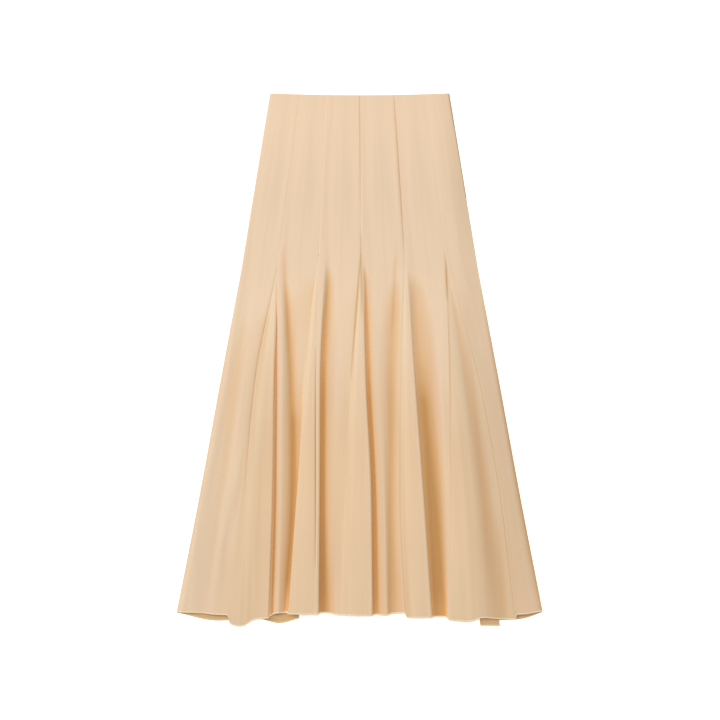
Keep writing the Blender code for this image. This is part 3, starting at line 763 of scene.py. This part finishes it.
def add_object(name, data):
    """Puts data in the scene as an object at the origin."""
    placed = bpy.data.objects.new(name, data)
    bpy.context.scene.collection.objects.link(placed)
    return placed


def add_piece(name, points, edges, faces, finish=None):
    """A mesh from points in millimetres, as an object in the scene."""
    mesh = bpy.data.meshes.new(name)
    mesh.from_pydata((np.asarray(points) * MM).tolist(), edges, faces)
    if finish:
        mesh.materials.append(finish)
    return add_object(name, mesh)


def shell_from_grids(name, top, bottom, heights, from_left, values, finish):
    """A closed shell between two grids that run down and to +X, with its UVs and named values."""
    count = top.shape[0] * top.shape[1]
    index = np.arange(count).reshape(top.shape[:2])
    a, b = index[:-1, :-1].ravel(), index[:-1, 1:].ravel()
    c, d = index[1:, 1:].ravel(), index[1:, :-1].ravel()
    rim = np.concatenate([index[0, :-1], index[:-1, -1], index[-1, :0:-1], index[:0:-1, 0]])
    ahead = np.roll(rim, -1)
    faces = np.concatenate([
        np.stack([a, d, c, b], axis=1), np.stack([a, b, c, d], axis=1) + count,
        np.stack([rim, ahead, ahead + count, rim + count], axis=1),
    ])
    points = np.concatenate([top.reshape(-1, 3), bottom.reshape(-1, 3)])
    piece = add_piece(name, points, [], faces.tolist(), finish)
    mesh = piece.data
    across = from_left - from_left[:, -1:] / 2
    uv = np.stack([across, np.broadcast_to(heights[:, None], across.shape)], axis=2).reshape(-1, 2) * MM
    layer = mesh.uv_layers.new(name="cloth")
    layer.data.foreach_set("uv", uv[faces.ravel() % count].ravel().astype(np.float32))
    for label, grid in values.items():
        attribute = mesh.attributes.new(label, "FLOAT", "POINT")
        attribute.data.foreach_set("value", np.tile(grid.ravel(), 2).astype(np.float32))
    mesh.shade_smooth()
    ends = np.zeros(2 * len(mesh.edges), np.int32)
    mesh.edges.foreach_get("vertices", ends)
    edges = (ends.reshape(-1, 2), np.stack([rim, ahead], axis=1), np.stack([rim, ahead], axis=1) + count)
    numbers = [np.sort(pairs, axis=1) @ (2 * count, 1) for pairs in edges]
    mark = mesh.attributes.new("sharp_edge", "BOOLEAN", "EDGE")
    mark.data.foreach_set("value", np.isin(numbers[0], numbers[1:]))
    return piece


def flat_size(points):
    """Width, length and area of a panel laid out: its widest row, its longest column, its surface."""
    width = walked(points)[:, -1].max()
    length = walked(points.transpose(1, 0, 2))[:, -1].max()
    area = 0.0
    for corner in (points[:-1, :-1], points[1:, 1:]):
        sides = points[:-1, 1:] - corner, points[1:, :-1] - corner
        area += np.linalg.norm(np.cross(*sides), axis=2).sum() / 2
    return width * MM, length * MM, area * MM * MM


def declare_cloth(piece, node, points):
    """Rides and replaces one panel, and measures the size that it was cut to, which is not used."""
    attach(piece, BODY)
    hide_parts(node)
    width, length, area = flat_size(points)


# ---------------- materials


def add_node(tree, kind, links=None, **settings):
    """Adds a node with its settings, its input values and its links, both by input name or number."""
    node = tree.nodes.new(kind)
    for name, value in settings.items():
        setattr(node, name, value)
    for name, value in (links or {}).items():
        if isinstance(value, bpy.types.NodeSocket):
            tree.links.new(value, node.inputs[name])
        else:
            node.inputs[name].default_value = value
    return node


def shared_material(name, finish, *values):
    """The material of that name: one shader, whose inputs finish(tree, *values) gives when it is new."""
    material = bpy.data.materials.get(name)
    if not material:
        material = bpy.data.materials.new(name)
        material.use_nodes = True
        tree = material.node_tree
        tree.nodes.clear()
        shader = add_node(tree, "ShaderNodeBsdfPrincipled", finish(tree, *values))
        add_node(tree, "ShaderNodeOutputMaterial", {"Surface": shader.outputs[0]})
    return material


def maths(tree, operation, *values):
    return add_node(tree, "ShaderNodeMath", dict(enumerate(values)), operation=operation).outputs[0]


def ranged(tree, value, low, high, start=0.0, end=1.0):
    """Turns a value that goes from start to end into one that goes from low to high."""
    limits = {"From Min": start, "From Max": end, "To Min": low, "To Max": high}
    return add_node(tree, "ShaderNodeMapRange", {"Value": value, **limits}).outputs["Result"]


def times(tree, colour, brightness):
    links = {0: colour, "Scale": brightness}
    return add_node(tree, "ShaderNodeVectorMath", links, operation="SCALE").outputs[0]


def mixed(tree, kind, factor, first, second):
    links = {"Factor": factor, "A": first, "B": second}
    return add_node(tree, "ShaderNodeMix", links, data_type=kind).outputs["Result"]


def waves(tree, place, spacing, distortion, direction):
    links = {"Vector": place, "Scale": WAVE_PERIOD / spacing, "Distortion": distortion}
    return add_node(tree, "ShaderNodeTexWave", links, bands_direction=direction).outputs["Fac"]


def bump(tree, height, strength, distance, **links):
    links = {"Height": height, "Strength": strength, "Distance": distance, **links}
    return add_node(tree, "ShaderNodeBump", links).outputs["Normal"]


def own_place(tree):
    return add_node(tree, "ShaderNodeTexCoord").outputs["Object"]


def cell_noise(tree, coordinates, cell, detail, seed_offset):
    """Noise whose lumps measure `cell` across and along the cloth."""
    scale = (1 / cell[0], 1 / cell[1], 1.0)
    links = {"Vector": coordinates, "Scale": scale, "Location": (seed_offset, 0, 0)}
    scaled = add_node(tree, "ShaderNodeMapping", links).outputs[0]
    links = {"Vector": scaled, "Scale": 1.0, "Detail": detail}
    return add_node(tree, "ShaderNodeTexNoise", links, noise_dimensions="2D").outputs["Fac"]


def chiffon(tree, colour, colours, seed_offset):
    """Polyester chiffon: sheer plain weave of crepe-twisted yarn. It gives a matt, faintly grainy face
    with a soft bloom at grazing angles; doubled cloth looks paler, and folds get painted warm shade."""
    uv = add_node(tree, "ShaderNodeUVMap", uv_map="cloth").outputs["UV"]
    layered, folded, lit = [
        add_node(tree, "ShaderNodeAttribute", attribute_name=name).outputs["Fac"]
        for name in ("layered", "folded_in", "lit")
    ]
    base = add_node(tree, "ShaderNodeValToRGB", {"Fac": folded})
    base.color_ramp.elements.new(FAINT_SHADE_STOP)
    base.color_ramp.elements.new(DEEP_STOP)
    for stop, tone in zip(base.color_ramp.elements, (colour, colours.faint_shade, colours.deep, colours.warm)):
        stop.color = (*tone, 1.0)
    pale = [1 - (1 - channel) * share for channel, share in zip(colour, DOUBLED)]
    paler = mixed(tree, "RGBA", layered, base.outputs["Color"], (*pale, 1.0))
    streaks = cell_noise(tree, uv, STREAK_CELL, 2.0, seed_offset)
    mottle = cell_noise(tree, uv, MOTTLE_CELL, 1.0, seed_offset + 5)
    brightness = ranged(tree, maths(tree, "ADD", streaks, mottle), 0.965, 1.035, 0.6, 1.4)
    # lit carries painted shade and painted light, multiplied into the colour.
    shaded = times(tree, paler, maths(tree, "MULTIPLY", brightness, lit))
    patch = ranged(tree, cell_noise(tree, uv, TINT_CELL, 1.0, seed_offset + 13), 0.0, 1.0, 0.35, 0.65)
    tint = mixed(tree, "VECTOR", patch, ROSY, YELLOWISH)
    shaded = add_node(tree, "ShaderNodeVectorMath", {0: shaded, 1: tint}, operation="MULTIPLY").outputs[0]
    threads = maths(tree, "MULTIPLY", *[waves(tree, uv, WEAVE_SPACING, 0.6, axis) for axis in ("X", "Y")])
    crepe = cell_noise(tree, uv, CREPE_CELL, 3.0, seed_offset + 9)
    puckers = bump(tree, crepe, 0.22, 0.0006, Normal=bump(tree, threads, 0.18, 0.0002))
    return {
        "Base Color": shaded, "Roughness": 0.78, "Specular IOR Level": 0.25, "IOR": 1.5,
        "Sheen Weight": 0.05, "Sheen Roughness": 0.45, "Normal": puckers,
    }


def ridged(tree, colour, spacing, distortion, direction, darkest, strength, distance):
    """Colour and relief of a finish with fine ridges; its colour is darkened between them as painted shade.
    """
    ridges = waves(tree, own_place(tree), spacing, distortion, direction)
    shaded = times(tree, colour, ranged(tree, ridges, darkest, 1.0))
    return {"Base Color": shaded, "Normal": bump(tree, ridges, strength, distance)}


def sewing_thread(tree, colour):
    """Spun polyester sewing thread: a fine matt twist that shows as a paler broken line."""
    twist = ridged(tree, colour, TWIST_SPACING, 1.0, "DIAGONAL", 0.88, 0.4, 0.0001)
    return {**twist, "Roughness": 0.7, "Sheen Weight": 0.1}


def zip_tape(tree, colour):
    """Knitted polyester zip tape: closer and darker than the chiffon, with fine ribs along it."""
    return {**ridged(tree, colour, RIB_SPACING, 0.4, "Y", 0.82, 0.5, 0.0002), "Roughness": 0.75}


def grain(tree, scale, detail):
    links = {"Vector": own_place(tree), "Scale": scale, "Detail": detail}
    return add_node(tree, "ShaderNodeTexNoise", links).outputs["Fac"]


def moulded_coil(tree, colour):
    """Moulded polyester coil: smooth monofilament with a soft gloss."""
    gloss = ranged(tree, grain(tree, 900.0, 2.0), 0.3, 0.5)
    return {"Base Color": (*colour, 1.0), "Roughness": gloss, "IOR": 1.57}


def paper_floor(tree, colour):
    """Matt white background paper, which shows only a faint tooth."""
    return {
        "Base Color": (*colour, 1.0), "Roughness": 0.9, "Specular IOR Level": 0.1,
        "Emission Color": (1.0, 1.0, 1.0, 1.0), "Emission Strength": PAPER_GLOW,
        "Normal": bump(tree, grain(tree, 700.0, 3.0), 0.05, 0.0003),
    }


# ---------------- the front


def even_near_tip(points, normals, tip_y):
    """Spaces a godet's points evenly near its tip, where its folds have only begun."""
    part = np.linspace(0.0, 1.0, points.shape[1])[None, :, None]
    even = points[:, :1] + (points[:, -1:] - points[:, :1]) * part
    opened = smooth_step((tip_y - points[:, :1, 1:2]) / GODET_OPENING)
    flat = np.array((0.0, 0.0, 1.0))
    return even + (points - even) * opened, unit(flat + (normals - flat) * opened**2)


def panel_relief(number, points, from_left, from_right, sizes):
    """Height of a front panel's own detail over its plain folds."""
    godet = "godet" in PANELS[number]
    height = 0.0
    if number > 0:
        height = seam_heights((number + 1) // 2, from_left, points[:, :, 1], 1, godet)
    if number < LAST:
        height = height + seam_heights(number // 2 + 1, from_right, points[:, :, 1], -1, godet)
    room = smooth_step(np.minimum(from_left, from_right) / CREASE_ROOM)
    creases = crease_heights(points, FRONT_CREASES) * sizes.crease_share
    return height + (creases + ripple(points) * sizes.ripple / MM) * room


def build_front(sizes, colours):
    """The front's eleven panels. Returns them and the line of their hem stitches."""
    stations = row_stations(ROW_STEP)
    lines, seams = front_lines(stations)
    lines[:, 0, -1] -= zip_inset(stations)
    built = []
    for number, name in enumerate(PANELS):
        tip_y = GODET_TIPS[number // 2] if "godet" in name else None
        rows = stations < (tip_y - 1.0 if tip_y else WAIST_Y + 1.0)
        heights = stations[rows]
        to_waist, to_hem = (WAIST_Y - heights)[:, None], (heights - HEM_Y)[:, None]
        places = row_places(lines[rows], seams[number], seams[number + 1])
        points = section_points(lines[rows], places)
        normals = outward_normals(lines[rows], places, points)
        if tip_y:
            points, normals = even_near_tip(points, normals, tip_y)
        from_left = walked(points)
        from_right = from_left[:, -1:] - from_left
        surface = points + normals * panel_relief(number, points, from_left, from_right, sizes)[:, :, None]
        top = surface + normals * hem_roll(to_hem, sizes.hem_width / MM, sizes.hem_rise / MM)[:, :, None]
        down = rim_drop(to_waist, *WAIST_TURN) + rim_drop(to_hem, *HEM_TURN)
        if number in (0, LAST):
            down = down + rim_drop(from_right if number else from_left, *SIDE_TURN)
        top[:, :, 2] -= down
        if number > 0:
            top[:, 0] += unit(top[:, 1] - top[:, 0]) * SEAM_PARTING
        if number < LAST:
            top[:, -1] += unit(top[:, -2] - top[:, -1]) * SEAM_PARTING
        in_roll = rolled_share(to_hem, sizes)
        bottom = top - normals * (sizes.cloth_thickness / MM * (1.0 + ROLL_FULLNESS * in_roll))[:, :, None]
        built.append((name, top, bottom, surface, from_left, heights, in_roll))
    pieces = []
    sky = front_sky([surface for _, _, _, surface, *_ in built], len(stations))
    for number, (name, top, bottom, surface, from_left, heights, in_roll) in enumerate(built):
        kind = "godet" if "godet" in name else "gore"
        colour = colours.godet if kind == "godet" else colours.chiffon
        finish = shared_material("polyester_chiffon_" + kind, chiffon, colour, colours, NOISE_STARTS[kind])
        values = panel_tones(number, sky[number], surface, from_left, in_roll)
        piece = shell_from_grids(f"front_{name}_cloth", top, bottom, heights, from_left, values, finish)
        declare_cloth(piece, "front_" + name, top)
        pieces.append(piece)
    return pieces, np.concatenate([stitch_line(top) for _, top, *_ in built])


def front_sky(surfaces, row_count):
    """The painted fold shade and painted light of each point of each panel, row by row across the whole
    front.
    """
    shares = [np.zeros((*surface.shape[:2], 2)) for surface in surfaces]
    for row in range(1, row_count + 1):
        present = [number for number, surface in enumerate(surfaces) if len(surface) >= row]
        folded = folded_in(np.concatenate([surfaces[number][-row] for number in present]))
        ends = np.cumsum([surfaces[number].shape[1] for number in present])
        for number, part in zip(present, np.split(folded, ends[:-1])):
            shares[number][-row] = part
    return shares


def panel_tones(number, share, points, from_left, in_roll):
    """The named values that colour a front panel's cloth, with its painted shade and painted light: see
    chiffon.
    """
    from_right = from_left[:, -1:] - from_left
    shade = crease_heights(points, PAINTED_SHADE_BANDS)
    y = points[:, :, 1]
    depth = share[:, :, 0] * (1.0 - np.clip(crease_heights(points, PALER_PLACES), 0.0, 1.0))
    depth = depth * (1.0 - TIP_CALM * smooth_step(y, *TIP_CALM_PLACES))
    # Painted warm shade beside seams, which also darkens them through lit.
    beside = np.zeros_like(y)
    for line in SEAM_SHADE_LINES:
        side = {number: 1, number + 1: -1}.get(line.seam)
        if side and line.side in (side, 0):
            distance = from_left if side > 0 else from_right
            part = np.clip((line.y_top - y) / (line.y_top - line.y_bottom), 0.0, 1.0)
            near = np.exp(-((distance / line.width) ** 2)) * np.sin(np.pi * part) ** SEAM_SHADE_FADE
            beside = 1.0 - (1.0 - beside) * (1.0 - line.warmth * near)
    tips = crease_heights(points, TIP_SHADE)
    warmth = 1.0 - (1.0 - depth) * (1.0 - shade) * (1.0 - tips) * (1.0 - beside)
    warmth = warmth * (1.0 - HEM_CALM * smooth_step(y, *HEM_CALM_PLACES))
    to_seam = from_left if number == LAST else np.minimum(from_left, from_right)
    seam = SEAM_TONE * np.exp(-((to_seam / SEAM_TONE_WIDTH) ** 2)) * (1.0 - beside)
    # lit: painted shade from the bands and beside seams, and painted light in hollows.
    lit = (1.0 - shade) * (1.0 + HOLLOW_LIGHT * share[:, :, 1]) * (1.0 - SEAM_SHADE * beside)
    layered = np.maximum(seam, HEM_TONE * in_roll)
    return {"folded_in": np.maximum(warmth, 0.0), "layered": layered, "lit": lit}


# ---------------- the back


def back_seam(number, x_hem, y):
    """A seam of the back: straight from the waist to the godet's tip, then straight to the hem."""
    x_waist, x_tip = WAIST_SEAMS[number], HIP_SEAMS[number]
    upper = x_waist + (x_tip - x_waist) * (WAIST_Y - y) / (WAIST_Y - BACK_TIP_Y)
    lower = x_tip + (x_hem - x_tip) * (BACK_TIP_Y - y) / (BACK_TIP_Y - HEM_Y)
    return np.where(y > BACK_TIP_Y, upper, lower)


def back_columns(width):
    """Shares of a back panel's width at which points are set, closer beside its seams."""
    count = int(np.ceil(width / BACK_COLUMN_STEP))
    near = np.array((0.0,) + EDGE_COLUMNS) / width
    return np.concatenate([near, np.linspace(0.0, 1.0, count + 1)[1:-1], 1.0 - near[::-1]])


def build_back(sizes, colours):
    """The back's eleven panels, flat on the floor; their upper side is the inside of the skirt."""
    stations = row_stations(BACK_ROW_STEP)
    sides = fold_lines(stations)
    finish = shared_material("polyester_chiffon_back", chiffon, colours.back, colours, NOISE_STARTS["back"])
    pieces = []
    stitches = []
    for number, (panel, hem) in enumerate(zip(PANELS, BACK_HEMS)):
        name = "back_" + panel
        x_left, x_right = BACK_HEM_SEAMS[number:number + 2]
        rows = stations <= (BACK_GODET_TOP if "godet" in name else WAIST_Y)
        y = stations[rows]
        to_waist, to_hem = (WAIST_Y - y)[:, None], (y - HEM_Y)[:, None]
        part = back_columns(max(x_right - x_left, LEAST_BACK_WIDTH))
        hem_y = curve_through((0.0, 0.5, 1.0), hem, part)
        depth = y[:, None] + (hem_y - HEM_Y) * smooth_step(y, CALF_Y, HEM_Y)[:, None]
        left = back_seam((number + 1) // 2, x_left, depth[:, 0])
        right = back_seam(number // 2 + 1, x_right, depth[:, -1])
        if number == 0:
            left = sides[rows, 0, 0]
        if number == LAST:
            right = sides[rows, 0, -1] - zip_inset(y)
        x = left[:, None] + (right - left)[:, None] * part
        bottom = np.stack([x, depth - waist_dip(x, y[:, None]), np.zeros_like(x)], axis=2)
        from_left = x - x[:, :1]
        up = rim_drop(to_hem, *BACK_HEM_TURN) + rim_drop(to_waist, *BACK_WAIST_TURN)
        for distance, at_side in ((from_left, number == 0), (x[:, -1:] - x, number == LAST)):
            groove = BACK_GROOVE * np.exp(-((distance / GROOVE_WIDTH) ** 2))
            up = up + (rim_drop(distance, *BACK_SIDE_TURN) if at_side else groove)
        bottom[:, :, 2] += up + np.maximum(crease_heights(bottom, BACK_CREASES), 0.0) * sizes.crease_share
        roll = hem_roll(to_hem, sizes.hem_width / MM, 0.5 * sizes.hem_rise / MM)
        top = bottom.copy()
        top[:, :, 2] += sizes.cloth_thickness / MM + roll
        # The back's colour also gets an even painted warm shade.
        values = {
            "folded_in": np.full(x.shape, BACK_SHADE),
            "layered": np.broadcast_to(HEM_TONE * rolled_share(to_hem, sizes), x.shape),
            "lit": np.ones(x.shape),
        }
        cloth = shell_from_grids(name + "_cloth", top, bottom, y, from_left, values, finish)
        declare_cloth(cloth, name, bottom)
        pieces.append(cloth)
        stitches.append(stitch_line(top))
    return pieces, np.concatenate(stitches)


# ---------------- zip and stitches


def tube(centres, first):
    """Points and faces of a closed tube around the centres, whose points are counted from `first`."""
    angles = np.linspace(0.0, 2 * np.pi, ZIP_SIDES, endpoint=False)
    ring = np.stack([ZIP_LIP[0] * np.cos(angles), 0.0 * angles, ZIP_LIP[1] * np.sin(angles)], axis=1)
    grid = np.arange(first, first + len(centres) * ZIP_SIDES).reshape(-1, ZIP_SIDES)
    turned = np.roll(grid, -1, axis=1)
    sides = np.stack([grid[:-1], turned[:-1], turned[1:], grid[1:]], axis=2).reshape(-1, 4)
    faces = [*sides.tolist(), grid[0, ::-1].tolist(), grid[-1].tolist()]
    return (centres[:, None] + ring).reshape(-1, 3), faces


def side_line(y, inset, height):
    """A line down the side seam at +X, this far inside it and this high."""
    return np.stack([fold_lines(y)[:, 0, -1] - inset, y, np.full_like(y, height)], axis=1)


def build_zip_tape(finish):
    """The concealed zip's two folded tapes, edge to edge along the side seam."""
    y = np.linspace(WAIST_Y - TAPE_START, WAIST_Y - ZIP_LENGTH, ZIP_ROWS)
    points, faces = [], []
    for height in ZIP_LIP_HEIGHTS:
        more_points, more_faces = tube(side_line(y, ZIP_FROM_SIDE, height), len(points))
        points.extend(more_points)
        faces.extend(more_faces)
    piece = add_piece("side_zip_tape", points, [], faces, finish)
    piece.data.shade_smooth()
    piece.data.set_sharp_from_angle(angle=np.radians(60))
    return piece


REPEAT_INPUTS = ("Pitch", "Length", "Thickness", "Unevenness", "Seed", "Material")


def repeat_along_tree(name, make_link):
    """A tree that sets one small piece after another along a line of edges."""
    tree = bpy.data.node_groups.new(name, "GeometryNodeTree")
    kinds = {"Geometry": "NodeSocketGeometry", "Seed": "NodeSocketInt", "Material": "NodeSocketMaterial"}
    sockets = {}
    for label in ("Geometry", *REPEAT_INPUTS):
        kind = kinds.get(label, "NodeSocketFloat")
        sockets[label] = tree.interface.new_socket(label, in_out="INPUT", socket_type=kind).identifier
    tree.interface.new_socket("Geometry", in_out="OUTPUT", socket_type="NodeSocketGeometry")
    given = add_node(tree, "NodeGroupInput").outputs
    curve = add_node(tree, "GeometryNodeMeshToCurve", {"Mesh": given["Geometry"]}).outputs["Curve"]
    links = {"Curve": curve, "Length": given["Pitch"]}
    places = add_node(tree, "GeometryNodeCurveToPoints", links, mode="LENGTH").outputs
    link = make_link(tree, given)
    least = maths(tree, "SUBTRACT", 1.0, given["Unevenness"])
    links = {"Min": least, "Max": 1.0, "Seed": given["Seed"]}
    scale = add_node(tree, "FunctionNodeRandomValue", links, data_type="FLOAT")
    scale = [socket for socket in scale.outputs if socket.type == "VALUE" and socket.enabled][0]
    links = {"Points": places["Points"], "Instance": link, "Rotation": places["Rotation"], "Scale": scale}
    result = add_node(tree, "GeometryNodeInstanceOnPoints", links).outputs["Instances"]
    for kind in ("GeometryNodeRealizeInstances", "GeometryNodeSetShadeSmooth"):
        result = add_node(tree, kind, {"Geometry": result}).outputs["Geometry"]
    links = {"Geometry": result, "Material": given["Material"]}
    dressed = add_node(tree, "GeometryNodeSetMaterial", links).outputs["Geometry"]
    add_node(tree, "NodeGroupOutput", {"Geometry": dressed})
    return tree, sockets


def resized(tree, geometry, x, y, z):
    size = add_node(tree, "ShaderNodeCombineXYZ", {"X": x, "Y": y, "Z": z}).outputs[0]
    links = {"Geometry": geometry, "Scale": size}
    return add_node(tree, "GeometryNodeTransform", links).outputs["Geometry"]


def stitch_link(tree, given):
    """One stitch: a short bead of thread that dives into the cloth at both ends."""
    bead = add_node(tree, "GeometryNodeMeshUVSphere", {"Segments": 6, "Rings": 5, "Radius": 0.5})
    return resized(tree, bead.outputs["Mesh"], given["Thickness"], given["Thickness"], given["Length"])


def coil_link(tree, given):
    """One turn of the zip's coil: an upright ring of filament."""
    ring = add_node(tree, "GeometryNodeCurvePrimitiveCircle", {"Resolution": 9, "Radius": 0.5})
    ring = resized(tree, ring.outputs["Curve"], given["Length"], given["Length"], 1.0)
    links = {"Resolution": 5, "Radius": maths(tree, "MULTIPLY", given["Thickness"], 0.5)}
    profile = add_node(tree, "GeometryNodeCurvePrimitiveCircle", links).outputs["Curve"]
    links = {"Curve": ring, "Profile Curve": profile}
    return add_node(tree, "GeometryNodeCurveToMesh", links).outputs["Mesh"]


def repeated_piece(name, points, tree, sockets, *values):
    """Runs a tree on a line of edges through the points and keeps the result as a plain mesh."""
    line = add_piece(name + "_line", points, [(start, start + 1) for start in range(len(points) - 1)], [])
    modifier = line.modifiers.new("repeat", "NODES")
    modifier.node_group = tree
    for label, value in zip(REPEAT_INPUTS, values):
        modifier[sockets[label]] = value
    depsgraph = bpy.context.evaluated_depsgraph_get()
    mesh = bpy.data.meshes.new_from_object(line.evaluated_get(depsgraph), depsgraph=depsgraph)
    mesh.name = name
    line.modifiers.clear()
    bpy.data.objects.remove(line)
    return add_object(name, mesh)


# ---------------- operators


# Where the hem of each side is stitched, from the operators for the cloth to the one for the stitches.
HEM_LINES = {}


def sew(side, build, scene):
    """Builds the panels of one side and keeps the line of its hem stitches."""
    pieces, HEM_LINES[side] = build(scene.skirt_sizes, scene.skirt_colours)
    if len(pieces) != len(PANELS):
        raise RuntimeError(f"a {side} panel is missing")
    return {"FINISHED"}


class SKIRT_OT_front_cloth(bpy.types.Operator):
    """Build the front's gores and godets as shells of chiffon"""

    bl_idname = "skirt.front_cloth"
    bl_label = "Front cloth"

    def execute(self, context):
        return sew("front", build_front, context.scene)


class SKIRT_OT_back_cloth(bpy.types.Operator):
    """Build the back's gores and godets, which lie on the floor"""

    bl_idname = "skirt.back_cloth"
    bl_label = "Back cloth"

    def execute(self, context):
        return sew("back", build_back, context.scene)


class SKIRT_OT_side_zip(bpy.types.Operator):
    """Build the concealed zip in the side seam"""

    bl_idname = "skirt.side_zip"
    bl_label = "Side zip"

    def execute(self, context):
        sizes = context.scene.skirt_sizes
        colours = context.scene.skirt_colours
        tape = build_zip_tape(shared_material("knitted_zip_tape", zip_tape, colours.zip_tape))
        y = np.linspace(WAIST_Y - COIL_START, WAIST_Y - ZIP_LENGTH + COIL_END, ZIP_ROWS)
        line = side_line(y, COIL_FROM_SIDE, COIL_HEIGHT)
        filament = shared_material("moulded_zip_coil", moulded_coil, colours.coil)
        coil = repeated_piece(
            "side_zip_coil", line, *repeat_along_tree("zip_coil", coil_link),
            sizes.coil_pitch, sizes.coil_width, sizes.filament, 0.0, 1, filament,
        )
        for piece in (tape, coil):
            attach(piece, BODY)
            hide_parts("side_zip")
        return {"FINISHED"}


class SKIRT_OT_hem_stitches(bpy.types.Operator):
    """Sew the rolled hem of the front and the back"""

    bl_idname = "skirt.hem_stitches"
    bl_label = "Hem stitches"

    def execute(self, context):
        sizes = context.scene.skirt_sizes
        colours = context.scene.skirt_colours
        if set(HEM_LINES) != {"front", "back"}:
            raise RuntimeError("build the front and back cloth before the hem's stitches")
        thread = shared_material("polyester_sewing_thread", sewing_thread, colours.thread)
        tree, sockets = repeat_along_tree("hem_stitches", stitch_link)
        for seed, (side, slot) in enumerate((("front", "chiffon"), ("back", "chiffon_back"))):
            stitches = repeated_piece(
                side + "_hem_stitches", HEM_LINES[side], tree, sockets,
                sizes.stitch_pitch, sizes.stitch_length, sizes.thread, 0.15, seed, thread,
            )
            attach(stitches, BODY)
        return {"FINISHED"}


def area_light(name, place, size, power):
    """A soft light that shines on the middle of the skirt."""
    data = bpy.data.lights.new(name, "AREA")
    data.shape = "RECTANGLE"
    data.size, data.size_y = size
    data.energy = power
    light = add_object(name, data)
    light.location = place
    light.rotation_euler = (-Vector(place)).to_track_quat("-Z", "Y").to_euler()


class SKIRT_OT_stage(bpy.types.Operator):
    """Lay the paper floor and set the lights and the camera"""

    bl_idname = "skirt.stage"
    bl_label = "Stage"

    def execute(self, context):
        scene, settings = context.scene, context.scene.skirt_stage
        half = FLOOR_HALF_SIZE
        ends = ((-half, -half), (half, -half), (half, half), (-half, half))
        corners = [(x, y, -FLOOR_DROP) for x, y in ends]
        paper = shared_material("background_paper", paper_floor, scene.skirt_colours.floor)
        add_piece("floor", corners, [], [(0, 1, 2, 3)], paper)
        area_light("window_light", *WINDOW_LIGHT, settings.key_power)
        area_light("top_light", *TOP_LIGHT, settings.top_power)

        scene.world = bpy.data.worlds.new("room")
        scene.world.use_nodes = True
        room = scene.world.node_tree.nodes["Background"].inputs
        room["Color"].default_value = (1.0, 1.0, 1.0, 1.0)
        room["Strength"].default_value = settings.fill
        scene.view_settings.view_transform = "Standard"

        lens = bpy.data.cameras.new("camera")
        lens.lens = settings.lens
        lens.sensor_width = lens.sensor_height = SENSOR_WIDTH
        scene.camera = add_object("camera", lens)
        scene.camera.location = (*settings.centre, settings.camera_height)
        return {"FINISHED"}


class SKIRT_PT_panel(bpy.types.Panel):
    """The skirt's pieces, in the order in which they are built"""

    bl_idname = "SKIRT_PT_panel"
    bl_label = "Chiffon skirt"
    bl_space_type = "VIEW_3D"
    bl_region_type = "UI"
    bl_category = "Skirt"

    def draw(self, context):
        for operator in OPERATORS:
            self.layout.operator(operator.bl_idname)
        for group in (getattr(context.scene, name) for name in GROUPS):
            box = self.layout.box()
            for name in group.__annotations__:
                box.prop(group, name)


GROUPS = {"skirt_sizes": SkirtSizes, "skirt_colours": SkirtColours, "skirt_stage": SkirtStage}
OPERATORS = (
    SKIRT_OT_front_cloth, SKIRT_OT_back_cloth, SKIRT_OT_side_zip, SKIRT_OT_hem_stitches, SKIRT_OT_stage,
)


def register():
    for entry in (*GROUPS.values(), *OPERATORS, SKIRT_PT_panel):
        bpy.utils.register_class(entry)
    for name, group in GROUPS.items():
        setattr(bpy.types.Scene, name, PointerProperty(type=group))


def unregister():
    for name in GROUPS:
        delattr(bpy.types.Scene, name)
    for entry in reversed((*GROUPS.values(), *OPERATORS, SKIRT_PT_panel)):
        bpy.utils.unregister_class(entry)


def main():
    register()
    bpy.ops.skirt.front_cloth()
    bpy.ops.skirt.back_cloth()
    bpy.ops.skirt.side_zip()
    bpy.ops.skirt.hem_stitches()
    bpy.ops.skirt.stage()


if __name__ == "__main__":
    main()
